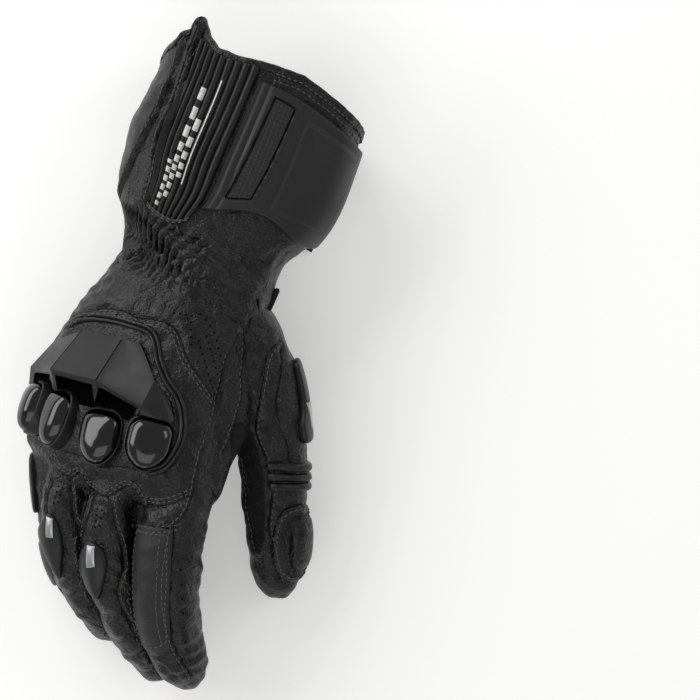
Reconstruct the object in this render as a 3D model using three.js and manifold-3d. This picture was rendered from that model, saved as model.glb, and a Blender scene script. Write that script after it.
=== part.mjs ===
// A long-cuff leather racing glove for the right hand, lying palm down as it would by itself.
// +X is the thumb side, +Y runs from the fingertips to the cuff opening, +Z is up; sizes in mm.
// The leather is a hollow shell of cuff, gathered wrist, hand and five finger stalls.
// Everything else is seated on the leather: cut by the leather grown by one running gap.
import * as THREE from "three";
import { mergeVertices } from "three/addons/utils/BufferGeometryUtils.js";
import Module from "manifold-3d";

const wasm = await Module();
wasm.setup();

// Driving dimensions
const WALL = 2.4; // leather and lining together
const GAP = 0.35; // between a piece and what carries it
const FLAP_THICK = 3;
const PLATE_THICK = 3.6;
const PATCH_THICK = 1.8;
const CUFF_FLOOR = PLATE_THICK + GAP; // the cuff lies on the closure plate, which lies on the surface
const FINGER_FLOOR = 0; // fingertips are flattened on the surface itself
const SUNK = -1.6; // where a fitting's underside starts, before the leather is cut out of it
const SEAM = 0.5; // open line between two leather panels, measured along the glove
const MIDDLE = [-1.6, -0.35]; // middle of the whole glove in the frame of the tables; the origin lies under it
const DEG = Math.PI / 180;

const table = (columns, rows) => ({ columns: columns.split(" "), rows });

// Hand and cuff: centre, half width across, depth above and below the centre, heading and roll in degrees
const BODY = table("x y z half back palm turn roll", [
  [45.4, 153.6, 36, 51, 33, 39, 21.5, 0], // past the opening
  [33.1, 122.9, 36, 50.5, 33, 39, 21.5, 0], // opening
  [19.0, 89.8, 36, 52.3, 33, 39, 21.5, 0], // widest
  [11.3, 71.8, 35.5, 49, 32, 37, 22, 1],
  [2.6, 57.1, 34.5, 42.2, 29.5, 32, 23, 5], // foot of the cuff
  [1.0, 39.8, 34, 38.3, 27, 27, 25, 12], // wrist
  [-8.4, 21.6, 35, 39.3, 26, 26.5, 27, 17], // heel of the hand
  [-21.8, 0.5, 36.5, 43.9, 25, 25, 28, 22],
  [-30.5, -21.6, 38, 49.4, 23.5, 24, 24, 26],
  [-37.2, -43.2, 39, 51.4, 22, 22.5, 18, 28], // knuckles
  [-35.8, -60.0, 38.5, 48.5, 19.5, 20, 14, 29], // web of the fingers
  [-34.8, -70.0, 37.5, 41, 13, 13, 14, 30],
]);

// Fingers and thumb: centre, half width and half depth; the last row is the fingertip
const DIGITS = {
  index: table("x y z half deep", [
    [-8.6, -50, 53.5, 15, 14.5],
    [-5.8, -67.7, 54, 15.2, 14.5],
    [-9.4, -80.6, 54, 15.6, 14.4],
    [-11.9, -95, 53, 15.7, 14.2],
    [-12.8, -109, 50.5, 15.4, 14],
    [-12.9, -121, 46.5, 15, 13.8],
    [-11.3, -133, 41, 14.4, 13.4],
    [-7.6, -146, 33, 13, 12.6],
    [-3, -160, 22.5, 11.5, 11.5],
  ]),
  middle: table("x y z half deep", [
    [-32.2, -44.8, 41.5, 12.5, 14],
    [-37, -62, 42.5, 12.5, 14],
    [-40.6, -80, 43, 12.6, 14],
    [-41.4, -97, 42, 12.5, 13.8],
    [-38.6, -111, 38.5, 12.4, 13.4],
    [-34, -123.5, 33, 12.2, 13],
    [-28, -135, 26, 12, 12.6],
    [-21.5, -145.5, 18.5, 11.5, 12],
    [-14.6, -156.5, 12, 10.5, 11],
  ]),
  ring: table("x y z half deep", [
    [-51.5, -38.6, 31, 12, 13.5],
    [-58, -56, 32, 12, 13.5],
    [-61.6, -70, 32.5, 12, 13.5],
    [-62, -84.5, 31.5, 12, 13.3],
    [-59.6, -96, 28, 12, 13],
    [-55.4, -107, 23.5, 12, 12.6],
    [-50, -117.5, 18.5, 11.8, 12.2],
    [-44.5, -127, 12.8, 11.3, 11.8],
    [-38.5, -138.5, 9.8, 10.5, 11],
  ]),
  little: table("x y z half deep", [
    [-66, -34, 22, 11, 13],
    [-68, -50, 19, 10.8, 12.8],
    [-67.6, -65, 15.5, 10.6, 12.4],
    [-66.4, -78, 13, 10.6, 12],
    [-64.4, -90, 11.5, 10.6, 11.8],
    [-61.2, -101, 10.8, 10.6, 11.5],
    [-56.4, -111.5, 10.6, 10.4, 11.2],
    [-51.5, -123, 10.4, 9.8, 10.6],
  ]),
  thumb: table("x y z half deep", [
    [16, 14, 35, 20, 19],
    [24, 2, 34, 19.5, 18],
    [31, -15.4, 32.5, 19, 17],
    [35.4, -34.6, 30, 17.6, 16],
    [37.2, -49, 27.5, 16.6, 15.2],
    [37.6, -62.9, 25, 16, 14.6],
    [37.8, -74.9, 22.5, 15.2, 14],
    [38.8, -90.2, 17.5, 14.4, 13.2],
    [39, -104, 12.8, 12.6, 12.2],
    [39, -119, 9.5, 10.5, 11],
  ]),
};

// The web of leather between the thumb and the index finger, part of the hand
const WEB = table("x y z half deep", [
  [10, 8, 37, 14, 17],
  [13, -8, 40, 15, 17],
  [15.5, -22, 42, 14, 16],
  [17.2, -36, 43, 11.5, 14],
  [17.5, -52, 44, 8, 10],
]);

// Cut lines of the leather, in stations of BODY, and where each stall is sewn to the hand, in stations of its own
const CUFF_END = 4.05;
const WRIST_END = 5.75;
const STALL_START = { index: 1.25, middle: 1.2, ring: 1.15, little: 1.1, thumb: 3.4 };

// Cuff edge: how far it runs past the opening station, by angle round the section (0 thumb side, 90 back)
const EDGE = table("angle rise", [
  [0, 0], [38, 6.3], [60, 10.7], [76, 14], [92, 13.6], [107, 11.4], [121, 11.7], [130, 16], [141, 23.5],
  [149, 17], [157, 9], [180, 0], [215, 1], [245, -4], [270, -6], [300, -4], [335, -1], [360, 0],
]);

// One value of a table at a station between its rows, on a smooth curve through them
function at({ columns, rows }, name, t) {
  const k = columns.indexOf(name);
  const last = rows.length - 1;
  const i = Math.min(Math.max(Math.floor(t), 0), last - 1);
  const u = t - i;
  const [p1, p2] = [rows[i][k], rows[i + 1][k]];
  const p0 = i > 0 ? rows[i - 1][k] : 2 * p1 - p2;
  const p3 = i + 2 <= last ? rows[i + 2][k] : 2 * p2 - p1;
  return p1 + 0.5 * u * (p2 - p0 + u * (2 * p0 - 5 * p1 + 4 * p2 - p3 + u * (3 * (p1 - p2) + p3 - p0)));
}

// Height of the cuff edge at an angle, by straight lines between the rows of EDGE
function edgeRise(degrees) {
  const a = ((degrees % 360) + 360) % 360;
  const i = EDGE.rows.findIndex((row) => row[0] > a);
  const [[a0, r0], [a1, r1]] = [EDGE.rows[i - 1], EDGE.rows[i]];
  return r0 + ((r1 - r0) * (a - a0)) / (a1 - a0);
}

const bump = (x, centre, width) => Math.exp(-(((x - centre) / width) ** 2));
const ramp = (x, from, to) => Math.min(1, Math.max(0, (x - from) / (to - from)));
const wrap = (degrees) => ((degrees % 360) + 360) % 360;

// Relief of the hand and cuff leather: two piped folds down the little finger side of the cuff,
// lengthwise gathers over the elastic at the wrist, and soft padding over the back of the hand
const GATHERS = 7;
const GATHER_HEIGHT = 1.5;
const GATHER_ARC = [78, 190];
function bodyRelief(t, degrees) {
  const a = wrap(degrees);
  const folds = (1.6 * bump(a, 147, 4) + 1.4 * bump(a, 163, 4)) * (1 - ramp(t, 3.4, 4.2));
  const across = (a - GATHER_ARC[0]) / (GATHER_ARC[1] - GATHER_ARC[0]);
  const inside = across > 0 && across < 1 ? Math.sin(across * Math.PI) : 0;
  const along = ramp(t, CUFF_END, 4.5) * (1 - ramp(t, 5.25, WRIST_END));
  const wave = Math.sin((across * GATHERS + 0.12 * Math.sin(6 * t)) * 2 * Math.PI);
  return folds + GATHER_HEIGHT * wave * inside * along;
}

// Tubes: a table with its floor, the stations its tip is rounded over, and its relief
const tubes = { body: { rows: BODY, floor: CUFF_FLOOR, tip: 0, relief: bodyRelief, ends: BODY.rows.length - 1 } };
for (const [name, rows] of Object.entries({ ...DIGITS, web: WEB })) {
  tubes[name] = { rows, floor: FINGER_FLOOR, tip: 1.25, relief: () => 0, ends: rows.rows.length - 1 };
}

const powered = (v, p) => Math.sign(v) * Math.abs(v) ** p;
const CORNER = 2 / 2.35; // sections are slightly squarer than an ellipse

// A point of a tube's surface at a station and an angle, a given distance outside the leather
function surface(tube, t, degrees, off) {
  const { rows, tip, ends } = tube;
  const own = (name, s = t) => at(rows, name, s);
  const centre = new THREE.Vector3(own("x"), own("y"), own("z"));
  const step = 0.05;
  const ahead = new THREE.Vector3(own("x", t + step), own("y", t + step), own("z", t + step));
  const heading = ahead.sub(centre);
  const perStation = heading.length() / step;
  const isBody = rows.columns.includes("turn");
  if (isBody) heading.set(-Math.sin(own("turn") * DEG), -Math.cos(own("turn") * DEG), 0);
  heading.normalize();
  const side = new THREE.Vector3(0, 0, 1).cross(heading).normalize();
  const up = heading.clone().cross(side);
  if (isBody) {
    side.applyAxisAngle(heading, own("roll") * DEG);
    up.applyAxisAngle(heading, own("roll") * DEG);
  }
  const a = degrees * DEG;
  const upper = Math.sin(a) >= 0;
  const deep = isBody ? own(upper ? "back" : "palm") : own("deep");
  const past = tip ? Math.max(0, (t - off / perStation - (ends - tip)) / tip) : 0;
  const round = past ? Math.max(0, 1 - Math.min(1, past) ** 2.4) ** (1 / 2.4) : 1;
  const grow = off * round + (off >= 0 ? tube.relief(t, degrees) : 0);
  const point = centre
    .addScaledVector(side, powered(Math.cos(a), CORNER) * (own("half") * round + grow))
    .addScaledVector(up, powered(Math.sin(a), CORNER) * (deep * round + grow));
  point.z = Math.max(point.z, tube.floor - off, 0);
  return point;
}

// Closed meshes
function solidFrom(geometry) {
  const bare = new THREE.BufferGeometry();
  bare.setAttribute("position", geometry.getAttribute("position"));
  if (geometry.index) bare.setIndex(geometry.index);
  const merged = mergeVertices(bare, 1e-4);
  const index = merged.index.array;
  const kept = [];
  for (let i = 0; i < index.length; i += 3) {
    const [a, b, c] = index.slice(i, i + 3);
    if (a !== b && b !== c && a !== c) kept.push(a, b, c);
  }
  const mesh = { numProp: 3, vertProperties: merged.attributes.position.array, triVerts: new Uint32Array(kept) };
  const made = new wasm.Manifold(new wasm.Mesh(mesh));
  if (made.volume() >= 0) return made;
  for (let i = 0; i < kept.length; i += 3) [kept[i + 1], kept[i + 2]] = [kept[i + 2], kept[i + 1]];
  return new wasm.Manifold(new wasm.Mesh({ ...mesh, triVerts: new Uint32Array(kept) }));
}

function solidOf(points, faces) {
  const geometry = new THREE.BufferGeometry();
  geometry.setAttribute("position", new THREE.Float32BufferAttribute(points.flatMap((p) => p.toArray()), 3));
  geometry.setIndex(faces.flat());
  return solidFrom(geometry);
}

const average = (points) => points.reduce((sum, p) => sum.add(p), new THREE.Vector3()).divideScalar(points.length);

// A solid skinned over loops of points: its ends are closed by fans, or it runs round in a ring
function skinned(loops, ring = false) {
  const n = loops[0].length;
  const points = loops.flat();
  const faces = [];
  const strips = ring ? loops.length : loops.length - 1;
  for (let r = 0; r < strips; r += 1) {
    const [p, q] = [r * n, ((r + 1) % loops.length) * n];
    for (let k = 0; k < n; k += 1) {
      const j = (k + 1) % n;
      faces.push([p + k, p + j, q + k], [p + j, q + j, q + k]);
    }
  }
  if (!ring) {
    for (const [loop, turned] of [[0, true], [loops.length - 1, false]]) {
      points.push(average(loops[loop]));
      const hub = points.length - 1;
      for (let k = 0; k < n; k += 1) {
        const [a, b] = [loop * n + k, loop * n + ((k + 1) % n)];
        faces.push(turned ? [b, a, hub] : [a, b, hub]);
      }
    }
  }
  return solidOf(points, faces);
}

// A tube filled end to end: loops from station `from` to `to`, either of which may vary with the angle
function filled(tube, { from, to, rings, angles, off = 0 }) {
  const [start, end] = [from, to].map((v) => (typeof v === "function" ? v : () => v));
  return skinned(Array.from({ length: rings + 1 }, (_, r) => {
    const u = tube.tip ? Math.sin((r / rings) * 90 * DEG) ** 0.8 : r / rings;
    return angles.map((a) => surface(tube, start(a) + (end(a) - start(a)) * u, a, off));
  }));
}

// A slab that lies on a tube: a grid of points at `low` and one at `high`, placed by shares across and along
function slab(tube, { across, along, place, low = SUNK, high }) {
  const points = [];
  for (const rise of [low, high]) {
    for (let j = 0; j <= along; j += 1) {
      for (let i = 0; i <= across; i += 1) {
        const [u, v] = [i / across, j / along];
        points.push(surface(tube, ...place(u, v), typeof rise === "function" ? rise(u, v) : rise));
      }
    }
  }
  const row = across + 1;
  const layer = row * (along + 1);
  const faces = [];
  for (let j = 0; j < along; j += 1) {
    for (let i = 0; i < across; i += 1) {
      const a = j * row + i;
      faces.push([a, a + row, a + 1], [a + 1, a + row, a + row + 1]);
      faces.push([layer + a, layer + a + 1, layer + a + row], [layer + a + 1, layer + a + row + 1, layer + a + row]);
    }
  }
  const edge = [];
  for (let i = 0; i < across; i += 1) edge.push(i);
  for (let j = 0; j < along; j += 1) edge.push(j * row + across);
  for (let i = across; i > 0; i -= 1) edge.push(along * row + i);
  for (let j = along; j > 0; j -= 1) edge.push(j * row);
  edge.forEach((a, k) => {
    const b = edge[(k + 1) % edge.length];
    faces.push([a, b, layer + a], [b, layer + b, layer + a]);
  });
  return solidOf(points, faces);
}

// A pad with a free outline of stations and angles: each ring is a share of the outline, at a rise
function pad(tube, { outline, centre, rings, grow = 0 }) {
  const wider = 1 + grow / 5;
  return skinned([[1, SUNK], ...rings].map(([share, rise, slip = 0]) => outline.rows.map(([t, a]) => surface(
    tube,
    centre[0] + (t - centre[0]) * share * wider,
    centre[1] + slip + (a - centre[1]) * share * wider,
    rise + grow,
  ))));
}

// Place and directions on a tube: outwards from the leather, towards the fingertip, and across both
function seat(tube, t, a, along) {
  const position = surface(tube, t, a, 0);
  const out = surface(tube, t, a, 1).sub(position);
  const forward = along ?? surface(tube, t + 0.05, a, 0).sub(position);
  forward.addScaledVector(out, -out.dot(forward) / out.lengthSq()).normalize();
  out.normalize();
  return { position, out, forward, across: forward.clone().cross(out) };
}

// A narrow band laid along a path of stations and angles; `section` lists its corners as [across, rise]
function ribbon(tube, path, steps, section) {
  const last = path.rows.length - 1;
  const spot = (s) => [at(path, "station", s), at(path, "angle", s)];
  return skinned(Array.from({ length: steps + 1 }, (_, i) => {
    const s = (i / steps) * last;
    const along = surface(tube, ...spot(s + 0.05), 0).sub(surface(tube, ...spot(s - 0.05), 0));
    const { position, out, across } = seat(tube, ...spot(s), along);
    return section.map(([x, rise]) => position.clone().addScaledVector(across, x).addScaledVector(out, rise));
  }));
}

function extruded(shape, from, to) {
  const geometry = new THREE.ExtrudeGeometry(shape, { depth: to - from, bevelEnabled: false });
  return solidFrom(geometry.translate(0, 0, from));
}

const spread = (from, to, count) => Array.from({ length: count }, (_, i) => from + ((to - from) * i) / count);
const even = (count) => spread(0, 360, count);
const union = (solids) => solids.reduce((a, b) => a.add(b));
const mix = (a, b, u) => a + (b - a) * u;

// Leather
const CUFF_ANGLES = [...spread(0, 120, 7), ...spread(120, 141, 2), ...spread(141, 171, 8), ...spread(171, 360, 9)];
const WRIST_ANGLES = [...spread(0, 78, 4), ...spread(78, 190, 24), ...spread(190, 360, 7)];
const HAND_ANGLES = even(24);
const LINING_ANGLES = even(15);
const DIGIT_ANGLES = even(12);
const names = Object.keys(DIGITS);
const STEP_LENGTH = 13; // about how many millimetres one station of a digit is long
const cuffStart = (a, extra = 0) => 1 - (edgeRise(a) + extra) / 33;
const HAND_END = BODY.rows.length - 1;
const ranges = {
  cuff: { from: cuffStart, to: CUFF_END, rings: 5, angles: CUFF_ANGLES },
  wrist: { from: CUFF_END + SEAM / 18, to: WRIST_END, rings: 4, angles: WRIST_ANGLES },
  hand: { from: WRIST_END + SEAM / 20, to: HAND_END, rings: 7, angles: HAND_ANGLES },
};

function digit(name, from, off, angles = DIGIT_ANGLES, rings = 7) {
  const tube = tubes[name];
  return filled(tube, { from, to: tube.ends + off / STEP_LENGTH, rings, angles, off });
}

// The hand with the stub of each digit and the web, filled
function handFilled(off) {
  const extra = off / STEP_LENGTH;
  return union([
    filled(tubes.body, { ...ranges.hand, off }),
    filled(tubes.web, { from: 0, to: tubes.web.ends + extra, rings: 3, angles: even(10), off }),
    ...names.map((name) => filled(tubes[name], {
      from: 0, to: STALL_START[name] + extra, rings: 2, angles: DIGIT_ANGLES, off,
    })),
  ]);
}

const leather = {};
leather.cuff = filled(tubes.body, ranges.cuff).subtract(filled(tubes.body, {
  ...ranges.cuff, from: (a) => cuffStart(a, 6), to: CUFF_END + 0.2, angles: LINING_ANGLES, off: -WALL,
}));
leather.wrist_gather = filled(tubes.body, ranges.wrist).subtract(filled(tubes.body, {
  from: CUFF_END - 0.3, to: WRIST_END + 0.3, rings: 3, angles: LINING_ANGLES, off: -WALL,
}));

const digitLining = Object.fromEntries(names.map((name) => [name, digit(name, 0.15, -WALL, even(8), 5)]));
const handLining = union([
  filled(tubes.body, { from: WRIST_END - 0.3, to: HAND_END - 1.35, rings: 4, angles: LINING_ANGLES, off: -WALL }),
  filled(tubes.web, { from: 0.2, to: tubes.web.ends - 0.4, rings: 2, angles: even(8), off: -WALL }),
  ...Object.values(digitLining),
]);
const wristGrown = filled(tubes.body, { ...ranges.wrist, from: CUFF_END - 1, to: ranges.hand.from, off: GAP });
leather.hand = handFilled(0).subtract(handLining).subtract(wristGrown);

// Stalls lie against each other: each is cut by the hand and by the stalls above it
const handGrown = handFilled(GAP);
const stallOuter = (name, off) => digit(name, STALL_START[name] - 0.15, off);
names.forEach((name, i) => {
  const above = name === "thumb" ? [] : names.slice(0, i);
  const outer = union([handGrown, ...above.map((other) => stallOuter(other, GAP))]);
  const within = above.map((other) => stallOuter(other, GAP + WALL));
  const hollow = within.length ? digitLining[name].subtract(union(within)) : digitLining[name];
  leather[`${name}_stall`] = stallOuter(name, 0).subtract(outer).subtract(hollow);
});

// The leather as a cutter, one running gap larger, for what is seated on it
const cuffGrown = union([
  filled(tubes.body, { ...ranges.cuff, from: (a) => cuffStart(a, GAP), off: GAP }),
  filled(tubes.body, { ...ranges.wrist, from: CUFF_END - 0.05, to: WRIST_END + 0.05, off: GAP }),
]);
const bodyGrown = union([cuffGrown, handGrown]);
const stallsGrown = union(names.map((name) => stallOuter(name, GAP)));
const allGrown = union([bodyGrown, stallsGrown]);

const fittings = {};

// Closure flap: moulded band from the back of the cuff, over the thumb side and down to the plate
const FLAP = table("angle start end", [
  [93, 0.82, 3.38], [80, 0.85, 3.02], [68, 0.91, 2.92], [55, 0.99, 3.02], [38, 1.08, 3.2],
  [15, 1.17, 3.24], [-10, 1.2, 3.1], [-28, 1.25, 3.02], [-42, 1.32, 2.9],
]);
const flap = (grow) => slab(tubes.body, {
  across: 14, along: 2,
  place: (u, v) => {
    const s = u * (FLAP.rows.length - 1);
    return [mix(at(FLAP, "start", s), at(FLAP, "end", s), v), at(FLAP, "angle", s)];
  },
  high: GAP + FLAP_THICK + grow,
});

// Inset of textured rubber on the flap
const INSERT = table("station angle", [[1.0, 85], [1.04, 75.5], [2.6, 78.5], [2.8, 87.5]]);
const insertTop = GAP + FLAP_THICK + GAP + 1;
fittings.flap_insert = pad(tubes.body, {
  outline: INSERT, centre: [1.86, 81.5], rings: [[1, insertTop - 0.3], [0.9, insertTop]],
}).subtract(flap(GAP));

// Closure plate under the palm side of the cuff: its corners across and down from the middle of the opening
const PLATE = table("across down", [[51, 13.7], [41.7, 7.7], [-2.3, 8.9], [-34.5, 49.6], [47.9, 60.6]]);
const PLATE_HOLE = table("across down", [[45, 21], [41, 49], [33.5, 46]]);
const PLATE_WINDOW = table("across down", [[37, 15.5], [3, 19], [-22, 46.5], [25, 50.5]]);
const SLOTS = { count: 4, from: 34, step: 8.6, down: 10.4, long: 3.6, wide: 1.5 };
const CUFF_TURN = BODY.rows[1][6] * DEG;
const [OPENING_X, OPENING_Y] = BODY.rows[1];
const onPlate = ([across, down]) => new THREE.Vector2(
  OPENING_X + across * Math.cos(CUFF_TURN) - down * Math.sin(CUFF_TURN),
  OPENING_Y - across * Math.sin(CUFF_TURN) - down * Math.cos(CUFF_TURN),
);
const plateShape = new THREE.Shape(PLATE.rows.map(onPlate));
plateShape.holes.push(new THREE.Path(PLATE_HOLE.rows.map(onPlate)));
for (let i = 0; i < SLOTS.count; i += 1) {
  const [x, y] = [SLOTS.from - i * SLOTS.step, SLOTS.down + 0.1 * i];
  const corners = [[x, y], [x - SLOTS.long, y], [x - SLOTS.long, y + SLOTS.wide], [x, y + SLOTS.wide]];
  plateShape.holes.push(new THREE.Path(corners.map(onPlate)));
}
const plateWindow = extruded(new THREE.Shape(PLATE_WINDOW.rows.map(onPlate)), -1, 1);
fittings.closure_plate = extruded(plateShape, 0, PLATE_THICK).subtract(plateWindow);
const plateGrown = extruded(new THREE.Shape(PLATE.rows.map(onPlate)), -1, PLATE_THICK + GAP);
fittings.closure_flap = flap(0).subtract(cuffGrown).subtract(plateGrown);

// Cuff binding: a thin leather strip folded over the cuff's edge
const BINDING = { width: 4, thick: 1.1 };
const bindingSection = [
  [BINDING.width, GAP], [BINDING.width, GAP + BINDING.thick], [-GAP - BINDING.thick, GAP + BINDING.thick],
  [-GAP - BINDING.thick, -WALL + GAP], [-GAP, -WALL + GAP], [-GAP, GAP],
];
fittings.cuff_binding = skinned(CUFF_ANGLES.map((a) => bindingSection.map(
  ([down, off]) => surface(tubes.body, cuffStart(a, -down), a, off),
)), true).subtract(cuffGrown).subtract(plateGrown).subtract(flap(GAP));

// Ribbed stretch panel down the back of the cuff, with its ribs running lengthwise
const PANEL = table("left right", [[134, 95.5], [129, 95.5], [124, 95]]);
const RIBS = { count: 9, valley: 0.9, peak: 2.1 };
const ribbedPanel = (grow) => slab(tubes.body, {
  across: 2 * RIBS.count, along: 3,
  place: (u, v) => {
    const angle = mix(at(PANEL, "left", 2 * v), at(PANEL, "right", 2 * v), u);
    const top = Math.max(0.6, cuffStart(angle, -4.4));
    return [mix(top, mix(3.85, 3.3, Math.max(0, 2 * u - 1)), v), angle];
  },
  high: (u) => grow + (Math.round(2 * RIBS.count * u) % 2 ? RIBS.peak : RIBS.valley),
});
fittings.ribbed_panel = ribbedPanel(0).subtract(cuffGrown).subtract(flap(GAP));
fittings.cuff_binding = fittings.cuff_binding.subtract(ribbedPanel(GAP));

// Strap over the thumb side of the wrist, and the wire loop that it runs through
const STRAP = { half: 7.5, thick: 1.4 };
const strapPath = table("station angle", [[4.95, 352], [5.0, 330], [5.05, 308], [5.1, 286], [5.1, 276]]);
fittings.wrist_strap = ribbon(tubes.body, strapPath, 8, [
  [-STRAP.half, SUNK], [-STRAP.half, GAP + STRAP.thick], [STRAP.half, GAP + STRAP.thick], [STRAP.half, SUNK],
]).subtract(bodyGrown);
const LOOP = { long: 10, wide: 3.6, wire: 0.9 };
const loopSeat = seat(tubes.body, 5.1, 286);
const loopRise = GAP + STRAP.thick + GAP + LOOP.wire + 0.5;
fittings.strap_loop = skinned(even(10).map((a) => {
  const [c, s] = [Math.cos(a * DEG), Math.sin(a * DEG)];
  const [x, y] = [powered(s, 0.4) * LOOP.wide, powered(c, 0.4) * LOOP.long];
  const outward = loopSeat.forward.clone().multiplyScalar(y / LOOP.long)
    .addScaledVector(loopSeat.across, x / LOOP.wide).normalize();
  const middle = loopSeat.position.clone().addScaledVector(loopSeat.forward, y)
    .addScaledVector(loopSeat.across, x).addScaledVector(loopSeat.out, loopRise);
  return even(6).map((b) => middle.clone().addScaledVector(outward, LOOP.wire * Math.cos(b * DEG))
    .addScaledVector(loopSeat.out, LOOP.wire * Math.sin(b * DEG)));
}), true);

// Palm patch: a second layer of leather, from the little finger side across the palm; and the slider on its heel
const PATCH = table("station from to", [
  [5.55, 206, 292], [6.1, 195, 316], [6.9, 192, 322], [7.7, 191, 318], [8.5, 191, 304], [9.2, 192, 280], [9.65, 196, 245],
]);
const patch = (grow) => slab(tubes.body, {
  across: 8, along: 6,
  place: (u, v) => {
    const s = v * (PATCH.rows.length - 1);
    return [at(PATCH, "station", s), mix(at(PATCH, "from", s), at(PATCH, "to", s), u)];
  },
  high: GAP + PATCH_THICK + grow,
});
fittings.palm_patch = patch(0).subtract(allGrown);
const SLIDER_TOP = GAP + PATCH_THICK + GAP + 2.4;
const PALM_SLIDER = table("station angle", [
  [6.25, 214], [6.05, 240], [6.2, 262], [6.5, 276], [7, 270], [7.2, 246], [7.3, 222], [7.0, 208], [6.6, 206],
]);
fittings.palm_slider = pad(tubes.body, {
  outline: PALM_SLIDER, centre: [6.7, 238], rings: [[1, SLIDER_TOP - 1], [0.9, SLIDER_TOP - 0.2], [0.6, SLIDER_TOP]],
}).subtract(patch(GAP)).subtract(allGrown);

// Knuckle cups: glossy domes in raised rims, in a row over the knuckles
const CUPS = table("station angle across forward", [
  [8.82, 137, 8.2, 12],
  [8.86, 113, 9.2, 13],
  [8.93, 88, 10.6, 12.6],
  [8.71, 60.5, 11.4, 12],
]);
const CUP_RINGS = [[1, -4], [1, 2.4], [0.87, 3.6], [0.8, 3.2], [0.7, 5.6], [0.42, 7.4], [0.14, 7.9]];
const CUP_SIDES = 10;
const cup = ([t, a, half, forwardHalf], grow) => {
  const { position, out, forward, across } = seat(tubes.body, t, a);
  return skinned(CUP_RINGS.map(([share, rise]) => even(CUP_SIDES).map((b) => position.clone()
    .addScaledVector(across, Math.cos(b * DEG) * (half + grow) * share)
    .addScaledVector(forward, Math.sin(b * DEG) * (forwardHalf + grow) * share)
    .addScaledVector(out, rise + grow))));
};
const cupsGrown = CUPS.rows.map((row) => cup(row, GAP));
["little", "ring", "middle", "index"].forEach((name, i) => {
  const others = cupsGrown.slice(i + 1);
  const cutters = [allGrown, ...others];
  fittings[`knuckle_cup_${name}`] = cutters.reduce((solid, other) => solid.subtract(other), cup(CUPS.rows[i], 0));
});

// Knuckle shell: three hard facets that rise towards the knuckles, with a scoop under the front of each
const SHELL = table("station angle rise", [
  [8.1, 160, 5], [7.6, 143, 2.4], [7.13, 122, 3], [6.95, 95, 3], [6.86, 86, 2.4], [7.1, 78, 2.2], [7.43, 69, 2.4],
  [7.68, 56, 2.6], [8.03, 49, 2.8], [8.22, 53, 3.6], [8.05, 73, 8.5], [7.92, 98, 12], [8.07, 127, 11],
  [8.42, 157, 2.6], [8.47, 124, 4], [8.43, 96, 4], [8.38, 70, 3.6],
]);
const SHELL_FACETS = [
  [0, 1, 2, 12], [12, 2, 3, 11], [11, 3, 4, 5, 6, 10], [10, 6, 7, 8, 9],
  [0, 12, 14, 13], [12, 11, 15, 14], [11, 10, 16, 15], [10, 9, 16],
];
const SHELL_FOOT = [0, 1, 2, 3, 4, 5, 6, 7, 8, 9, 16, 15, 14, 13];
const shellPoint = ([t, a, rise]) => surface(tubes.body, t, a, rise);
const shellTop = SHELL.rows.map(shellPoint);
const shellBottom = SHELL_FOOT.map((i) => shellPoint([SHELL.rows[i][0], SHELL.rows[i][1], SUNK]));
const shellFaces = [];
for (const facet of SHELL_FACETS) {
  for (let k = 2; k < facet.length; k += 1) shellFaces.push([facet[0], facet[k - 1], facet[k]]);
}
const foot = (k) => SHELL.rows.length + (k % SHELL_FOOT.length);
SHELL_FOOT.forEach((i, k) => {
  const next = SHELL_FOOT[(k + 1) % SHELL_FOOT.length];
  shellFaces.push([i, foot(k), next], [next, foot(k), foot(k + 1)]);
  shellFaces.push([foot(k + 1), foot(k), SHELL.rows.length + SHELL_FOOT.length]);
});
const shellSolid = solidOf([...shellTop, ...shellBottom, average(shellBottom.map((p) => p.clone()))], shellFaces);
const SCOOPS = table("from to front back", [[153, 130, 8.8, 7.75], [124, 101, 8.8, 7.6], [94, 63, 8.8, 7.75]]);
const scoops = SCOOPS.rows.map(([from, to, front, back]) => slab(tubes.body, {
  across: 3, along: 2,
  place: (u, v) => [mix(front, back, v), mix(from, to, u)],
  low: 1.4,
  high: (u, v) => mix(11, 4, v) - (from > 150 ? 4 * (1 - u) : 0) - (from < 100 ? 3 * u : 0),
}));
fittings.knuckle_shell = [allGrown, ...scoops, ...cupsGrown].reduce((a, b) => a.subtract(b), shellSolid);

// Double piping sewn round the thumb side of the shell and cups
const PIPING = table("station angle", [
  [6.98, 127], [6.76, 109], [6.64, 95], [6.58, 86], [6.7, 78], [6.98, 70], [7.26, 60], [7.5, 48], [7.82, 41],
  [8.28, 37], [8.75, 39], [9.2, 46], [9.5, 58],
]);
fittings.knuckle_surround = ribbon(tubes.body, PIPING, 13, [
  [-2.5, SUNK], [-2.5, 0.9], [-1.25, 2], [0, 1.1], [1.25, 2], [2.5, 0.9], [2.5, SUNK],
]).subtract(allGrown).subtract(union(cupsGrown)).subtract(shellSolid.translate(0, 0, GAP)).subtract(shellSolid);

// Index finger: an embossed patch on its back
const INDEX_PATCH = table("station angle", [
  [2.35, 165], [2.28, 125], [2.22, 93], [3.4, 92], [4.5, 93], [5.8, 96], [6.15, 125], [6.1, 160], [4.7, 172], [3.6, 172],
]);
fittings.index_patch = pad(tubes.index, {
  outline: INDEX_PATCH, centre: [4.2, 130], rings: [[1, 1.1], [0.6, 1.5]],
}).subtract(allGrown);

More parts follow.
